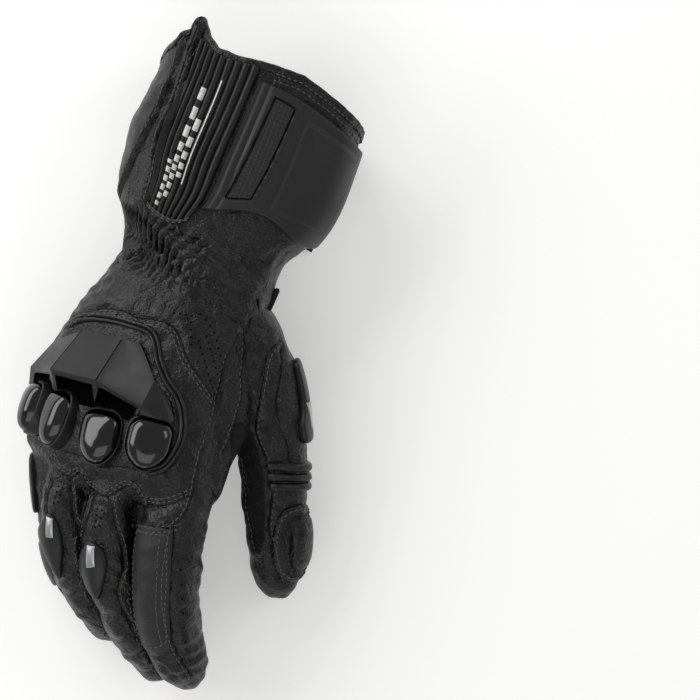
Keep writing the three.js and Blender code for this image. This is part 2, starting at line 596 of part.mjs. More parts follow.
// Middle and ring fingers: teardrop pads, each with a bright inlay
const MIDDLE_PAD = table("station angle", [
  [2.54, 127], [2.85, 158], [3.12, 171], [3.6, 162], [4.05, 140], [3.95, 125], [3.55, 104], [3.12, 92], [2.72, 98],
]);
const RING_PAD = table("station angle", [
  [2.42, 123], [2.66, 148], [2.95, 171], [3.4, 160], [4.05, 146], [4.5, 134], [3.9, 112], [3.24, 98], [2.68, 104],
]);
const padTop = 2.6;
const padRings = [[1, 1.2], [0.86, 2.1], [0.5, padTop]];
const inlayRings = [[1, padTop + 1], [0.7, padTop + 1.3]];
for (const [name, outline, inlay] of [
  ["middle", MIDDLE_PAD, table("station angle", [[2.64, 140], [2.64, 120], [3.08, 122], [3.1, 144]])],
  ["ring", RING_PAD, table("station angle", [[2.6, 134], [2.6, 118], [3.04, 120], [3.06, 138]])],
]) {
  const shape = { outline, centre: [3.2, 128], rings: padRings };
  fittings[`${name}_finger_pad`] = pad(tubes[name], shape).subtract(allGrown);
  fittings[`${name}_pad_inlay`] = pad(tubes[name], { outline: inlay, centre: [2.85, 130], rings: inlayRings })
    .subtract(pad(tubes[name], { ...shape, grow: GAP })).subtract(allGrown);
}

// Little finger: two hard sliders on its outer side
const LITTLE_SLIDERS = {
  upper: { centre: [1.9, 184], half: [0.95, 26] },
  lower: { centre: [4.75, 160], half: [0.9, 34] },
};
const oval = ({ centre: [t, a], half: [dt, da] }, sides) => table("station angle", even(sides).map((b) => [
  t + dt * powered(Math.cos(b * DEG), 0.7), a + da * powered(Math.sin(b * DEG), 0.7),
]));
for (const [name, place] of Object.entries(LITTLE_SLIDERS)) {
  fittings[`little_slider_${name}`] = pad(tubes.little, {
    outline: oval(place, 12), centre: place.centre, rings: [[1, 1.2], [0.85, 2.4], [0.4, 2.8]],
  }).subtract(allGrown);
}

// Thumb: a hard slider on its outer side with a bright bar, three stretch ribs and an oval pad
const THUMB_SLIDER = table("station angle", [
  [1.75, 22], [2.5, 27], [3.1, 40], [3.55, 34], [3.6, 8], [3.5, -22], [2.7, -26], [1.8, -16],
]);
const thumbSlider = (grow) => pad(tubes.thumb, {
  outline: THUMB_SLIDER, centre: [2.7, 6], rings: [[1, 1.8], [0.88, 3.2], [0.4, 3.4]], grow,
});
fittings.thumb_slider = thumbSlider(0).subtract(allGrown);
const barPath = table("station angle", [[2.55, 23], [2.85, 20], [3.2, 17]]);
fittings.thumb_slider_inlay = ribbon(tubes.thumb, barPath, 3, [[-1, 1], [-1, 4.4], [1, 4.4], [1, 1]])
  .subtract(thumbSlider(GAP)).subtract(allGrown);
const THUMB_RIBS = { count: 3, first: 4.2, step: 0.335, lean: 0.22, from: -35, to: 95 };
const ribSection = [[-2, SUNK], [-2, 0.7], [-1.2, 1.9], [0, 2.4], [1.2, 1.9], [2, 0.7], [2, SUNK]];
for (let i = 0; i < THUMB_RIBS.count; i += 1) {
  const station = THUMB_RIBS.first + i * THUMB_RIBS.step;
  const path = table("station angle", [
    [station + THUMB_RIBS.lean, THUMB_RIBS.from], [station + THUMB_RIBS.lean, 0],
    [station + THUMB_RIBS.lean / 2, 45], [station, THUMB_RIBS.to],
  ]);
  fittings[`thumb_rib_${i + 1}`] = ribbon(tubes.thumb, path, 8, ribSection).subtract(allGrown);
}
const THUMB_PAD = { centre: [7, 45], half: [1.3, 50] };
fittings.thumb_pad = pad(tubes.thumb, {
  outline: oval(THUMB_PAD, 16), centre: THUMB_PAD.centre,
  rings: [[1, 1], [0.9, 1.6], [0.66, 1.7, -12], [0.6, 2.9, -12], [0.3, 3.3, -12]],
}).subtract(allGrown);

// The finished assembly
const glove = new THREE.Group();
glove.name = "motorcycle_glove";
glove.position.set(-MIDDLE[0], -MIDDLE[1], 0);
const finish = (color, roughness, metalness = 0) => new THREE.MeshStandardMaterial({ color, roughness, metalness });
const materials = {
  leather: finish(0x1c1c1a, 0.62),
  hardShell: finish(0x333332, 0.5),
  gloss: finish(0x0b0b0b, 0.15),
  rubber: finish(0x252524, 0.7),
  webbing: finish(0x161616, 0.9),
  metal: finish(0xb8bab8, 0.3, 1),
};
const materialOf = [
  [/inlay|strap_loop/, "metal"], [/cup_/, "gloss"], [/shell|slider/, "hardShell"],
  [/flap|plate|insert/, "rubber"], [/wrist_strap/, "webbing"],
];
for (const [name, solid] of Object.entries({ ...leather, ...fittings })) {
  const whole = solid.decompose().sort((a, b) => b.volume() - a.volume())[0];
  const { vertProperties, triVerts } = whole.getMesh();
  const geometry = new THREE.BufferGeometry();
  geometry.setAttribute("position", new THREE.Float32BufferAttribute(vertProperties, 3));
  geometry.setIndex(new THREE.BufferAttribute(triVerts, 1));
  const [, material] = materialOf.find(([pattern]) => pattern.test(name)) ?? [null, "leather"];
  const mesh = new THREE.Mesh(geometry, materials[material]);
  mesh.name = name;
  glove.add(mesh);
}

export default glove;
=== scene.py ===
# A long-cuff leather racing glove for the right hand, lying palm down on a pale floor.
# Its tables are in millimetres, which to_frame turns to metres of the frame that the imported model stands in.
import math

import bmesh
import bpy
import numpy as np
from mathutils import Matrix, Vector
from mathutils.bvhtree import BVHTree
from mathutils.kdtree import KDTree


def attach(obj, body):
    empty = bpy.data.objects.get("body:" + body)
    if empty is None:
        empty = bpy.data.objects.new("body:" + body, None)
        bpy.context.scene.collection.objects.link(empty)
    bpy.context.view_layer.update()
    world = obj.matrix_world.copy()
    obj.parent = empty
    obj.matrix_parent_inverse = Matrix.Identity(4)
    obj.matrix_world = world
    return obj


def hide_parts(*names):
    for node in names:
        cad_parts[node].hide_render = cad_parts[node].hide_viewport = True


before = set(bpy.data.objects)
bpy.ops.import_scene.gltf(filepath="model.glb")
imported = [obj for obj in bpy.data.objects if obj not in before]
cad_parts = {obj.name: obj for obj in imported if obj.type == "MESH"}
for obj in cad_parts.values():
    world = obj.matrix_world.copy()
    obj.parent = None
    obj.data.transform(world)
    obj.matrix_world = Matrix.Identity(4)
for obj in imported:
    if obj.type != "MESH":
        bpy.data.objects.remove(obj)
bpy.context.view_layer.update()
scene = bpy.context.scene

# Camera, floor and light
# A long lens straight above the floor, so that the glove lies in the left half of a square picture.
# Soft boxes and a bright room give black leather its grey sheen; the floor is a plain lit table.
MM = 0.001
MIDDLE = np.array([-1.6, -0.35, 0.0])  # middle of the glove in the frame of its tables, mm
VIEW_CENTRE = (0.0758, 0.0018)
VIEW_WIDTH = 0.336
VIEW_HEIGHT = 2.5
GLOVE_HEIGHT = 0.04
FLOOR_SIZE = 6
ROOM_LIGHT = 0.3


def linear(text):
    """A colour such as #808080 as linear red, green, blue and an alpha of one."""
    values = [int(text[i : i + 2], 16) / 255 for i in (1, 3, 5)]
    return [v / 12.92 if v <= 0.04045 else ((v + 0.055) / 1.055) ** 2.4 for v in values] + [1.0]


def add_node(tree, kind, settings=None, links=None, **attributes):
    """One node with its settings, by socket name or number, and the sockets that feed it."""
    made = tree.nodes.new(kind)
    for name, value in attributes.items():
        setattr(made, name, value)
    for name, value in (settings or {}).items():
        made.inputs[name].default_value = value
    for name, source in (links or {}).items():
        tree.links.new(source, made.inputs[name])
    return made


def new_material(name, colour, roughness, **sockets):
    """A material with these plain values, its tree and shader, and the place on the object for textures."""
    material = bpy.data.materials.new(name)
    material.use_nodes = True
    shader = material.node_tree.nodes["Principled BSDF"]
    shader.inputs["Base Color"].default_value = linear(colour)
    shader.inputs["Roughness"].default_value = roughness
    for socket, value in sockets.items():
        shader.inputs[socket.replace("_", " ")].default_value = value
    place = add_node(material.node_tree, "ShaderNodeTexCoord").outputs["Object"]
    return material, material.node_tree, shader, place


def noise(tree, place, size, **settings):
    """A noise pattern with forms of this size in mm."""
    values = {"Scale": 1000 / size, **settings}
    return add_node(tree, "ShaderNodeTexNoise", values, {"Vector": place}).outputs["Fac"]


def add_relief(tree, shader, height, strength, depth):
    """Fine relief of this depth in mm on the whole surface."""
    values = {"Strength": strength, "Distance": depth * MM}
    relief = add_node(tree, "ShaderNodeBump", values, {"Height": height})
    tree.links.new(relief.outputs[0], shader.inputs["Normal"])


def stripes(tree, place, pitch, way, **settings):
    """Soft stripes this many mm apart, across the X or the Y direction."""
    values = {"Scale": 1000 / pitch / 20 * 3.18, **settings}
    return add_node(tree, "ShaderNodeTexWave", values, {"Vector": place}, bands_direction=way).outputs["Fac"]


def vary_roughness(tree, shader, pattern, low, high, start=0.0, end=1.0):
    """Roughness that goes from low to high while the pattern goes from start to end."""
    values = {"From Min": start, "From Max": end, "To Min": low, "To Max": high}
    varied = add_node(tree, "ShaderNodeMapRange", values, {"Value": pattern})
    tree.links.new(varied.outputs[0], shader.inputs["Roughness"])


camera = bpy.data.objects.new("camera", bpy.data.cameras.new("camera"))
camera.location = (*VIEW_CENTRE, VIEW_HEIGHT)
camera.data.lens = camera.data.sensor_width * (VIEW_HEIGHT - GLOVE_HEIGHT) / VIEW_WIDTH
camera.data.clip_end = 8 * VIEW_HEIGHT
scene.collection.objects.link(camera)
scene.camera = camera
scene.view_settings.view_transform = "Standard"

bpy.ops.mesh.primitive_plane_add(size=FLOOR_SIZE, location=(0, 0, 0))
floor = bpy.context.object
floor.name = "floor"
# A lit acrylic table: it glows a little, so that shadows on it stay pale
acrylic, tree, shader, place = new_material("lit_acrylic_table", "#f1f1f0", 0.85, Emission_Strength=0.35)
shader.inputs["Emission Color"].default_value = linear("#fbfbfa")
add_relief(tree, shader, noise(tree, place, 0.7, Detail=2.0), 0.15, 0.05)
floor.data.materials.append(acrylic)

world = scene.world or bpy.data.worlds.new("room")
scene.world = world
world.use_nodes = True
room = world.node_tree.nodes["Background"]
room.inputs["Color"].default_value = linear("#fbfbfa")
room.inputs["Strength"].default_value = ROOM_LIGHT

LIGHTS = [  # name, where, size, watts
    ("key_box", (-0.95, 0.75, 0.8), (2.2, 0.8), 17),
    ("rim_box", (1.1, 0.35, 0.9), (0.9, 0.3), 2),
    ("fill_box", (-0.3, -1.5, 1.7), (2.4, 1.6), 11),
]
for name, where, (wide, high), watts in LIGHTS:
    data = bpy.data.lights.new(name, "AREA")
    data.shape = "RECTANGLE"
    data.size, data.size_y, data.energy = wide, high, watts
    lamp = bpy.data.objects.new(name, data)
    lamp.location = where
    lamp.rotation_euler = (Vector((0, 0, GLOVE_HEIGHT)) - Vector(where)).to_track_quat("-Z", "Y").to_euler()
    scene.collection.objects.link(lamp)

# Leather: cuff, gathered wrist, hand and stalls
# Black cowhide about 1.2 mm thick over foam and lining, cut in panels and sewn; it keeps a bent hand's form.
# Cuff and wrist are skinned over the stations of BODY; hand and stalls are fused and softened together.
WALL = 2.4
STALL_WALL = WALL + 1.9
GAP = 0.35
PLATE_THICK = 3.6
CUFF_FLOOR = PLATE_THICK + GAP
CUFF_END = 4.05
WRIST_END = 5.75
CORNER = 2 / 2.35
AHEAD = 0.05  # of a station, to see which way a tube runs
MM_PER_DEGREE, MM_PER_STATION = 0.9, 33.0  # on the cuff


def table(columns, rows):
    """Rows of numbers as named columns."""
    return dict(zip(columns.split(), np.array(rows, float).T))


BODY = table("x y z half back palm turn roll", [
    [45.4, 153.6, 36, 51, 33, 39, 21.5, 0],  # past the opening
    [33.1, 122.9, 36, 50.5, 33, 39, 21.5, 0],  # opening
    [19.0, 89.8, 36, 52.3, 33, 39, 21.5, 0],  # widest
    [11.3, 71.8, 35.5, 49, 32, 37, 22, 1],
    [2.6, 57.1, 34.5, 42.2, 29.5, 32, 23, 5],  # foot of the cuff
    [1.0, 39.8, 34, 38.3, 27, 27, 25, 12],  # wrist
    [-8.4, 21.6, 35, 39.3, 26, 26.5, 27, 17],  # heel of the hand
    [-21.8, 0.5, 36.5, 43.9, 25, 25, 28, 22],
    [-30.5, -21.6, 38, 49.4, 23.5, 24, 24, 26],
    [-37.2, -43.2, 39, 51.4, 22, 22.5, 18, 28],  # knuckles
    [-35.8, -60.0, 38.5, 48.5, 19.5, 20, 14, 29],  # web of the fingers
    [-34.8, -70.0, 37.5, 41, 13, 13, 14, 30],
])
DIGITS = {
    "index": table("x y z half deep", [
        [-8.6, -50, 53.5, 15, 14.5], [-5.8, -67.7, 54, 15.2, 14.5], [-9.4, -80.6, 54, 15.6, 14.4],
        [-11.9, -95, 53, 15.7, 14.2], [-12.8, -109, 50.5, 15.4, 14], [-12.9, -121, 46.5, 15, 13.8],
        [-11.3, -133, 41, 14.4, 13.4], [-7.6, -146, 33, 13, 12.6], [-3, -160, 22.5, 11.5, 11.5],
    ]),
    "middle": table("x y z half deep", [
        [-32.2, -44.8, 41.5, 12.5, 14], [-37, -62, 42.5, 12.5, 14], [-40.6, -80, 43, 12.6, 14],
        [-41.4, -97, 42, 12.5, 13.8], [-38.6, -111, 38.5, 12.4, 13.4], [-34, -123.5, 33, 12.2, 13],
        [-28, -135, 26, 12, 12.6], [-21.5, -145.5, 18.5, 11.5, 12], [-14.6, -156.5, 12, 10.5, 11],
    ]),
    "ring": table("x y z half deep", [
        [-51.5, -38.6, 31, 12, 13.5], [-58, -56, 32, 12, 13.5], [-61.6, -70, 32.5, 12, 13.5],
        [-62, -84.5, 31.5, 12, 13.3], [-59.6, -96, 28, 12, 13], [-55.4, -107, 23.5, 12, 12.6],
        [-50, -117.5, 18.5, 11.8, 12.2], [-44.5, -127, 12.8, 11.3, 11.8], [-38.5, -138.5, 9.8, 10.5, 11],
    ]),
    "little": table("x y z half deep", [
        [-66, -34, 22, 11, 13], [-68, -50, 19, 10.8, 12.8], [-67.6, -65, 15.5, 10.6, 12.4],
        [-66.4, -78, 13, 10.6, 12], [-64.4, -90, 11.5, 10.6, 11.8], [-61.2, -101, 10.8, 10.6, 11.5],
        [-56.4, -111.5, 10.6, 10.4, 11.2], [-51.5, -123, 10.4, 9.8, 10.6],
    ]),
    "thumb": table("x y z half deep", [
        [16, 14, 35, 20, 19], [24, 2, 34, 19.5, 18], [31, -15.4, 32.5, 19, 17], [35.4, -34.6, 30, 17.6, 16],
        [37.2, -49, 27.5, 16.6, 15.2], [37.6, -62.9, 25, 16, 14.6], [37.8, -74.9, 22.5, 15.2, 14],
        [38.8, -90.2, 17.5, 14.4, 13.2], [39, -104, 12.8, 12.6, 12.2], [39, -119, 9.5, 10.5, 11],
    ]),
    "web": table("x y z half deep", [
        [10, 8, 37, 14, 17], [12.5, -8, 40, 15, 17], [13, -22, 42, 14.5, 16], [11, -36, 44, 13.5, 14.5],
        [6.5, -48, 46, 12, 13.5], [3.5, -62, 48, 10.8, 12], [0.5, -78, 49, 9, 10],
    ]),
    "fork": table("x y z half deep", [  # the side panel between the index and middle fingers
        [-23, -50, 40, 8, 13], [-25.5, -62, 40, 7.5, 12], [-27, -74, 39, 7, 11.5], [-27.5, -86, 37, 6.5, 11],
        [-27, -98, 35, 6, 10], [-25, -112, 31, 5, 8],
    ]),
}
EDGE = table("angle rise", [
    [0, 0], [38, 6.3], [60, 10.7], [76, 14], [92, 13.6], [107, 11.4], [121, 11.7], [130, 16], [141, 23.5],
    [149, 17], [157, 9], [180, 0], [215, 1], [245, -4], [270, -6], [300, -4], [335, -1], [360, 0],
])
GUSSET_LINE = table("station angle", [  # from the smooth gusset to the folded leather beside the ribs
    [0.3, 150], [0.9, 149], [1.46, 144], [2.08, 145], [2.84, 153], [3.62, 163], [4.1, 167],
])
PIPE_LINE = table("station angle", [  # the piped fold that runs up to the peak of the edge
    [0.3, 137], [0.82, 137], [1.25, 133], [1.72, 130], [2.43, 129], [3.45, 126], [4.1, 123],
])
GATHER_FROM, GATHER_TO, GATHER_FOLDS, GATHER_HIGH = 78, 172, 16, 3.1  # angles, how many, mm


def at(values, t):
    """A column of a table at stations between its rows, on a smooth curve through them."""
    t = np.asarray(t, float)
    last = len(values) - 1
    i = np.clip(np.floor(t), 0, last - 1).astype(int)
    u = t - i
    p1, p2 = values[i], values[i + 1]
    p0 = np.where(i > 0, values[np.maximum(i - 1, 0)], 2 * p1 - p2)
    p3 = np.where(i + 2 <= last, values[np.minimum(i + 2, last)], 2 * p2 - p1)
    return p1 + 0.5 * u * (p2 - p0 + u * (2 * p0 - 5 * p1 + 4 * p2 - p3 + u * (3 * (p1 - p2) + p3 - p0)))


def bump(x, centre, width):
    """A bell curve one unit high."""
    return np.exp(-(((x - centre) / width) ** 2))


def ramp(x, start, end):
    """A smooth step from 0 at the start to 1 at the end."""
    u = np.clip((x - start) / (end - start), 0, 1)
    return u * u * (3 - 2 * u)


def powered(v, p):
    """A signed power, which squares or pinches a circle."""
    return np.sign(v) * np.abs(v) ** p


def body_relief(t, degrees):
    """Height of the leather over the plain section, mm: gusset, piped fold, and gathers over the elastic."""
    a = np.mod(degrees, 360)
    on_cuff = 1 - ramp(t, 3.75, 4.15)
    line = a - np.interp(t, GUSSET_LINE["station"], GUSSET_LINE["angle"])
    pipe = a - np.interp(t, PIPE_LINE["station"], PIPE_LINE["angle"])
    gusset = 1.7 * ramp(line, 0.4, 4) * (1 - ramp(a, 176, 196)) - 1.3 * bump(line, -0.6, 1.2)
    fold = 2.5 * bump(pipe, 0, 1.5) - 1.0 * bump(pipe, 3.1, 1.3) - 0.8 * bump(pipe, -2.7, 1.1)
    fold += 0.9 * bump(pipe, 6.6, 2.2) * (1 - ramp(t, 1.8, 3))
    across = (a - GATHER_FROM) / (GATHER_TO - GATHER_FROM)
    inside = np.sin(np.clip(across, 0, 1) * np.pi) ** 0.5
    along = ramp(t, CUFF_END - 0.1, 4.25) * (1 - ramp(t, 5.1, 6.0))
    phase = across * GATHER_FOLDS + 0.5 * np.sin(3.3 * t + 7 * across) + 0.16 * np.sin(8 * t + 19 * across)
    phase += 0.05 * np.sin(21 * t + 31 * across) - 0.9 * (t - 4.2)
    folds = np.abs(np.sin(np.pi * phase)) ** 0.75 * (0.8 + 0.35 * np.sin(6 * t + 11 * across)) - 0.5
    soft = 0.7 * np.sin(9 * t + 0.06 * a) * bump(a, 72, 26) * ramp(t, 4.1, 4.5) * (1 - ramp(t, 5.2, 5.8))
    return (gusset + fold) * on_cuff + GATHER_HIGH * folds * inside * along + 1.1 * soft


def no_relief(t, degrees):
    """The plain skin of a tube that has no folds of its own."""
    return 0.0


TUBES = {"body": {"rows": BODY, "floor": CUFF_FLOOR, "tip": 0, "relief": body_relief}}
for name, rows in DIGITS.items():
    TUBES[name] = {"rows": rows, "floor": 0.0, "tip": 1.25, "relief": no_relief}


def surface(tube, t, degrees, off=0.0):
    """Points of a tube's skin, mm: angle 0 is the thumb side, 90 the back; `off` is outwards."""
    t, degrees, off = np.broadcast_arrays(*(np.asarray(v, float) for v in (t, degrees, off)))
    rows, tip = tube["rows"], tube["tip"]
    centre = np.stack([at(rows[k], t) for k in "xyz"], -1)
    ahead = np.stack([at(rows[k], t + AHEAD) for k in "xyz"], -1) - centre
    per_station = np.linalg.norm(ahead, axis=-1) / AHEAD
    if "turn" in rows:
        turn = np.radians(at(rows["turn"], t))
        ahead = np.stack([-np.sin(turn), -np.cos(turn), 0 * turn], -1)
    heading = ahead / np.linalg.norm(ahead, axis=-1, keepdims=True)
    side = np.cross([0, 0, 1], heading)
    side /= np.linalg.norm(side, axis=-1, keepdims=True)
    up = np.cross(heading, side)
    if "roll" in rows:
        roll = np.radians(at(rows["roll"], t))[..., None]
        side, up = side * np.cos(roll) + up * np.sin(roll), up * np.cos(roll) - side * np.sin(roll)
    a = np.radians(degrees)
    if "back" in rows:
        deep = np.where(np.sin(a) >= 0, at(rows["back"], t), at(rows["palm"], t))
    else:
        deep = at(rows["deep"], t)
    round_off = 1.0
    if tip:
        ends = len(rows["x"]) - 1
        past = np.clip((t - off / per_station - (ends - tip)) / tip, 0, 1)
        round_off = (1 - past**2.4) ** (1 / 2.4)
    grow = off * round_off + np.where(off >= 0, tube["relief"](t, degrees), 0)
    point = centre + side * (powered(np.cos(a), CORNER) * (at(rows["half"], t) * round_off + grow))[..., None]
    point += up * (powered(np.sin(a), CORNER) * (deep * round_off + grow))[..., None]
    point[..., 2] = np.maximum(np.maximum(point[..., 2], tube["floor"] - off), 0)
    return point


DIMPLE_WAVES = 14


def dimples(points, wavelength, seed):
    """Soft irregular ups and downs about one unit high, with this wavelength in mm."""
    waves = np.random.default_rng(seed).normal(size=(DIMPLE_WAVES, 4))
    total = 0
    for x, y, z, shift in waves:
        way = np.array([x, y, z]) / math.sqrt(x * x + y * y + z * z)
        total = total + np.sin(points @ way * 2 * math.pi / wavelength + 9 * shift)
    return total / math.sqrt(DIMPLE_WAVES / 2)


def unevenness(points, broad, fine, seed):
    """Ups and downs of hand-cut leather: broad ones and fine ones of these heights in mm."""
    return broad * dimples(points, 17, seed) + fine * dimples(points, 7, seed + 1)


def skinned(loops, ring=False):
    """Vertices and faces of a solid over loops of points: fans close its ends, or it runs round in a ring."""
    loops = np.asarray(loops, float)
    count, n = loops.shape[:2]
    points = loops.reshape(-1, 3).tolist()
    faces = []
    for r in range(count if ring else count - 1):
        p, q = r * n, ((r + 1) % count) * n
        faces += [(p + k, p + (k + 1) % n, q + (k + 1) % n, q + k) for k in range(n)]
    if not ring:
        for loop in (0, count - 1):
            points.append(loops[loop].mean(0).tolist())
            hub = len(points) - 1
            for k in range(n):
                pair = (loop * n + k, loop * n + (k + 1) % n)
                faces.append((*(pair if loop else pair[::-1]), hub))
    return points, faces


def to_frame(points):
    """Points in mm of the tables, as metres of the frame."""
    return (np.asarray(points, float) - MIDDLE) * MM


def to_tables(points):
    """Points in metres of the frame, as mm of the tables."""
    return np.array(points) / MM + MIDDLE


def mesh_object(name, points, faces):
    """A new object at the origin from points in mm, with doubles merged and faces turned outwards."""
    mesh = bpy.data.meshes.new(name)
    mesh.from_pydata(to_frame(points).tolist(), [], faces)
    bm = bmesh.new()
    bm.from_mesh(mesh)
    bmesh.ops.remove_doubles(bm, verts=bm.verts, dist=2e-6)
    bmesh.ops.recalc_face_normals(bm, faces=bm.faces)
    if bm.calc_volume(signed=True) < 0:
        bmesh.ops.reverse_faces(bm, faces=bm.faces)
    bm.to_mesh(mesh)
    bm.free()
    made = bpy.data.objects.new(name, mesh)
    scene.collection.objects.link(made)
    return made


def applied(made):
    """The object with its modifiers applied to its mesh."""
    evaluated = made.evaluated_get(bpy.context.evaluated_depsgraph_get())
    mesh = bpy.data.meshes.new_from_object(evaluated)
    made.modifiers.clear()
    old = made.data
    made.data = mesh
    bpy.data.meshes.remove(old)
    return made


def cut(made, cutter):
    """The first solid less the second, which goes."""
    step = made.modifiers.new("cut", "BOOLEAN")
    step.operation, step.solver, step.object = "DIFFERENCE", "MANIFOLD", cutter
    applied(made)
    bpy.data.objects.remove(cutter)
    return made


def tube_solid(name, tube, start, end, rings, sides, off=0.0):
    """A filled solid over a stretch of a tube; a tube with a tip has its rings closer together there."""
    angles = np.linspace(0, 360, sides, endpoint=False)
    shares = np.linspace(0, 1, rings + 1)
    if tube["tip"]:
        shares = np.sin(shares * math.pi / 2) ** 0.8
    stations = start + (end - start) * shares[:, None]
    return mesh_object(name, *skinned(surface(tube, stations, angles[None, :], off)))


def coordinates(made):
    """The points and outward normals of a mesh, in mm of the tables."""
    count = len(made.data.vertices)
    points, normals = np.empty(count * 3), np.empty(count * 3)
    made.data.vertices.foreach_get("co", points)
    made.data.vertices.foreach_get("normal", normals)
    return to_tables(points.reshape(-1, 3)), normals.reshape(-1, 3)


def reshape_mesh(made, points):
    """Moves the points of a mesh to new places in mm of the tables."""
    made.data.vertices.foreach_set("co", to_frame(points).ravel())
    made.data.update()


def piece(made, slot, *nodes, materials=(), creases=35):
    """Hands a finished mesh over: it rides on the one body, stands for these nodes and has this finish."""
    for number, material in enumerate(materials):
        if number < len(made.data.materials):
            made.data.materials[number] = material
        else:
            made.data.materials.append(material)
    made.data.polygons.foreach_set("use_smooth", [True] * len(made.data.polygons))
    made.data.set_sharp_from_angle(angle=math.radians(creases))
    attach(made, "root")
    plain = made.name.partition(".")[0]
    if plain in nodes:
        made.name = f"{plain}_visual"
    if nodes:
        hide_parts(*nodes)
    return made


SEAM_REACH = 4.0
LAP_HEIGHTS = [  # share across a seam's reach, and height of the leather there
    (0.0, 0.3), (0.45, 0.25), (0.49, 0.0), (0.53, 0.85), (0.62, 0.9), (0.66, 0.55), (0.70, 0.85), (1, 0.3),
]


def leather_finish(name, colour, roughness, cell, depth, patchy=0.35, seams=False):
    """Dyed cowhide: pebbles of a millimetre or so in patches that differ in depth, tone and shine."""
    material, tree, shader, place = new_material(name, colour, roughness, Specular_IOR_Level=0.42)
    pebbles = add_node(tree, "ShaderNodeTexVoronoi", {"Scale": 1000 / cell, "Randomness": 1.0},
                       {"Vector": place}, feature="SMOOTH_F1")
    creases = noise(tree, place, cell * 3.2, Detail=6.0, Roughness=0.62, Distortion=0.8)
    patches = noise(tree, place, 26, Detail=3.0, Roughness=0.6)
    rumple = noise(tree, place, 9, Detail=3.0, Roughness=0.5, Distortion=1.2)
    height = add_node(tree, "ShaderNodeMath", {1: -0.9}, {0: pebbles.outputs["Distance"], 2: creases},
                      operation="MULTIPLY_ADD")
    amount = add_node(tree, "ShaderNodeMapRange",
                      {"From Min": 0.35, "From Max": 0.65, "To Min": 0.25, "To Max": 1.0}, {"Value": patches})
    hide = add_node(tree, "ShaderNodeBump", {"Distance": 4.2 * depth * MM, "Strength": 0.7},
                    {"Height": rumple})
    relief = add_node(tree, "ShaderNodeBump", {"Distance": depth * MM},
                      {"Height": height.outputs[0], "Strength": amount.outputs[0], "Normal": hide.outputs[0]})
    satin = {"From Min": 0.3, "From Max": 0.75, "To Min": roughness - 0.13, "To Max": roughness + 0.18}
    dull = add_node(tree, "ShaderNodeMapRange", satin, {"Value": creases})
    low, high = [[v * k for v in linear(colour)[:3]] + [1.0] for k in (1 - patchy, 1 + 2.4 * patchy)]
    worn = add_node(tree, "ShaderNodeMapRange", {"From Min": 0.4, "From Max": 0.68}, {"Value": patches})
    tone = add_node(tree, "ShaderNodeMix", {6: low, 7: high}, {0: worn.outputs[0]}, data_type="RGBA")
    colour_out, normal_out = tone.outputs[2], relief.outputs[0]
    if seams:
        # Attribute "seam" is the signed distance to the nearest sewn line in mm, and "sewn" fades it out
        line = add_node(tree, "ShaderNodeAttribute", attribute_name="seam").outputs["Fac"]
        sewn = add_node(tree, "ShaderNodeAttribute", attribute_name="sewn").outputs["Fac"]
        span = {"From Min": -SEAM_REACH, "From Max": SEAM_REACH}
        share = add_node(tree, "ShaderNodeMapRange", span, {"Value": line})
        lap = add_node(tree, "ShaderNodeValToRGB", {}, {"Fac": share.outputs[0]})
        for spot, _ in LAP_HEIGHTS[1:-1]:
            lap.color_ramp.elements.new(spot)
        for element, (spot, value) in zip(lap.color_ramp.elements, LAP_HEIGHTS):
            element.position, element.color = spot, (value, value, value, 1)
        raised = add_node(tree, "ShaderNodeBump", {"Distance": 0.55 * MM},
                          {"Height": lap.outputs["Color"], "Strength": sewn, "Normal": relief.outputs[0]})
        # A thin near-black line along each seam: painted shade in the groove where one panel lies over the
        # other
        groove = add_node(tree, "ShaderNodeMath", {1: 0.0, 2: 0.35}, {0: line}, operation="COMPARE")
        dark = add_node(tree, "ShaderNodeMath", {}, {0: groove.outputs[0], 1: sewn}, operation="MULTIPLY")
        shaded = add_node(tree, "ShaderNodeMix", {7: linear("#060606")}, {0: dark.outputs[0], 6: colour_out},
                          data_type="RGBA")
        # Attribute "gusset" marks the panel on the thumb's inner side, which faces the index finger: it is
        # darkened to near black as painted shade, and made duller
        thumb_panel_shade = add_node(tree, "ShaderNodeAttribute", attribute_name="gusset").outputs["Fac"]
        thumb_panel_shaded = add_node(tree, "ShaderNodeMix", {7: linear("#050505")}, {0: thumb_panel_shade, 6: shaded.outputs[2]},
                          data_type="RGBA")
        matt = add_node(tree, "ShaderNodeMath", {1: 0.5}, {0: thumb_panel_shade, 2: dull.outputs[0]},
                        operation="MULTIPLY_ADD")
        colour_out, normal_out, dull = thumb_panel_shaded.outputs[2], raised.outputs[0], matt
    tree.links.new(colour_out, shader.inputs["Base Color"])
    tree.links.new(dull.outputs[0], shader.inputs["Roughness"])
    tree.links.new(normal_out, shader.inputs["Normal"])
    return material


grain_leather = leather_finish("grained_cowhide", "#0e0e0c", 0.36, 1.0, 0.62)
sewn_leather = leather_finish("grained_cowhide_sewn", "#0e0e0c", 0.36, 1.0, 0.6, seams=True)
smooth_leather = leather_finish("smooth_cowhide", "#1a1a19", 0.44, 0.8, 0.08, 0.15)
creased_leather = leather_finish("creased_cowhide", "#0d0d0b", 0.36, 1.1, 0.6)


def edge_rise(angles):
    """How far the cuff's edge reaches past the opening's station, mm."""
    return np.interp(np.mod(angles, 360), EDGE["angle"], EDGE["rise"])


def cuff_start(angles, extra=0.0):
    """The station where the cuff's edge lies at these angles, moved outwards by so many mm."""
    return 1 - (edge_rise(angles) + extra) / MM_PER_STATION


def spread(*runs):
    """Angles in runs of (from, to, how many)."""
    return np.concatenate([np.linspace(a, b, n, endpoint=False) for a, b, n in runs])


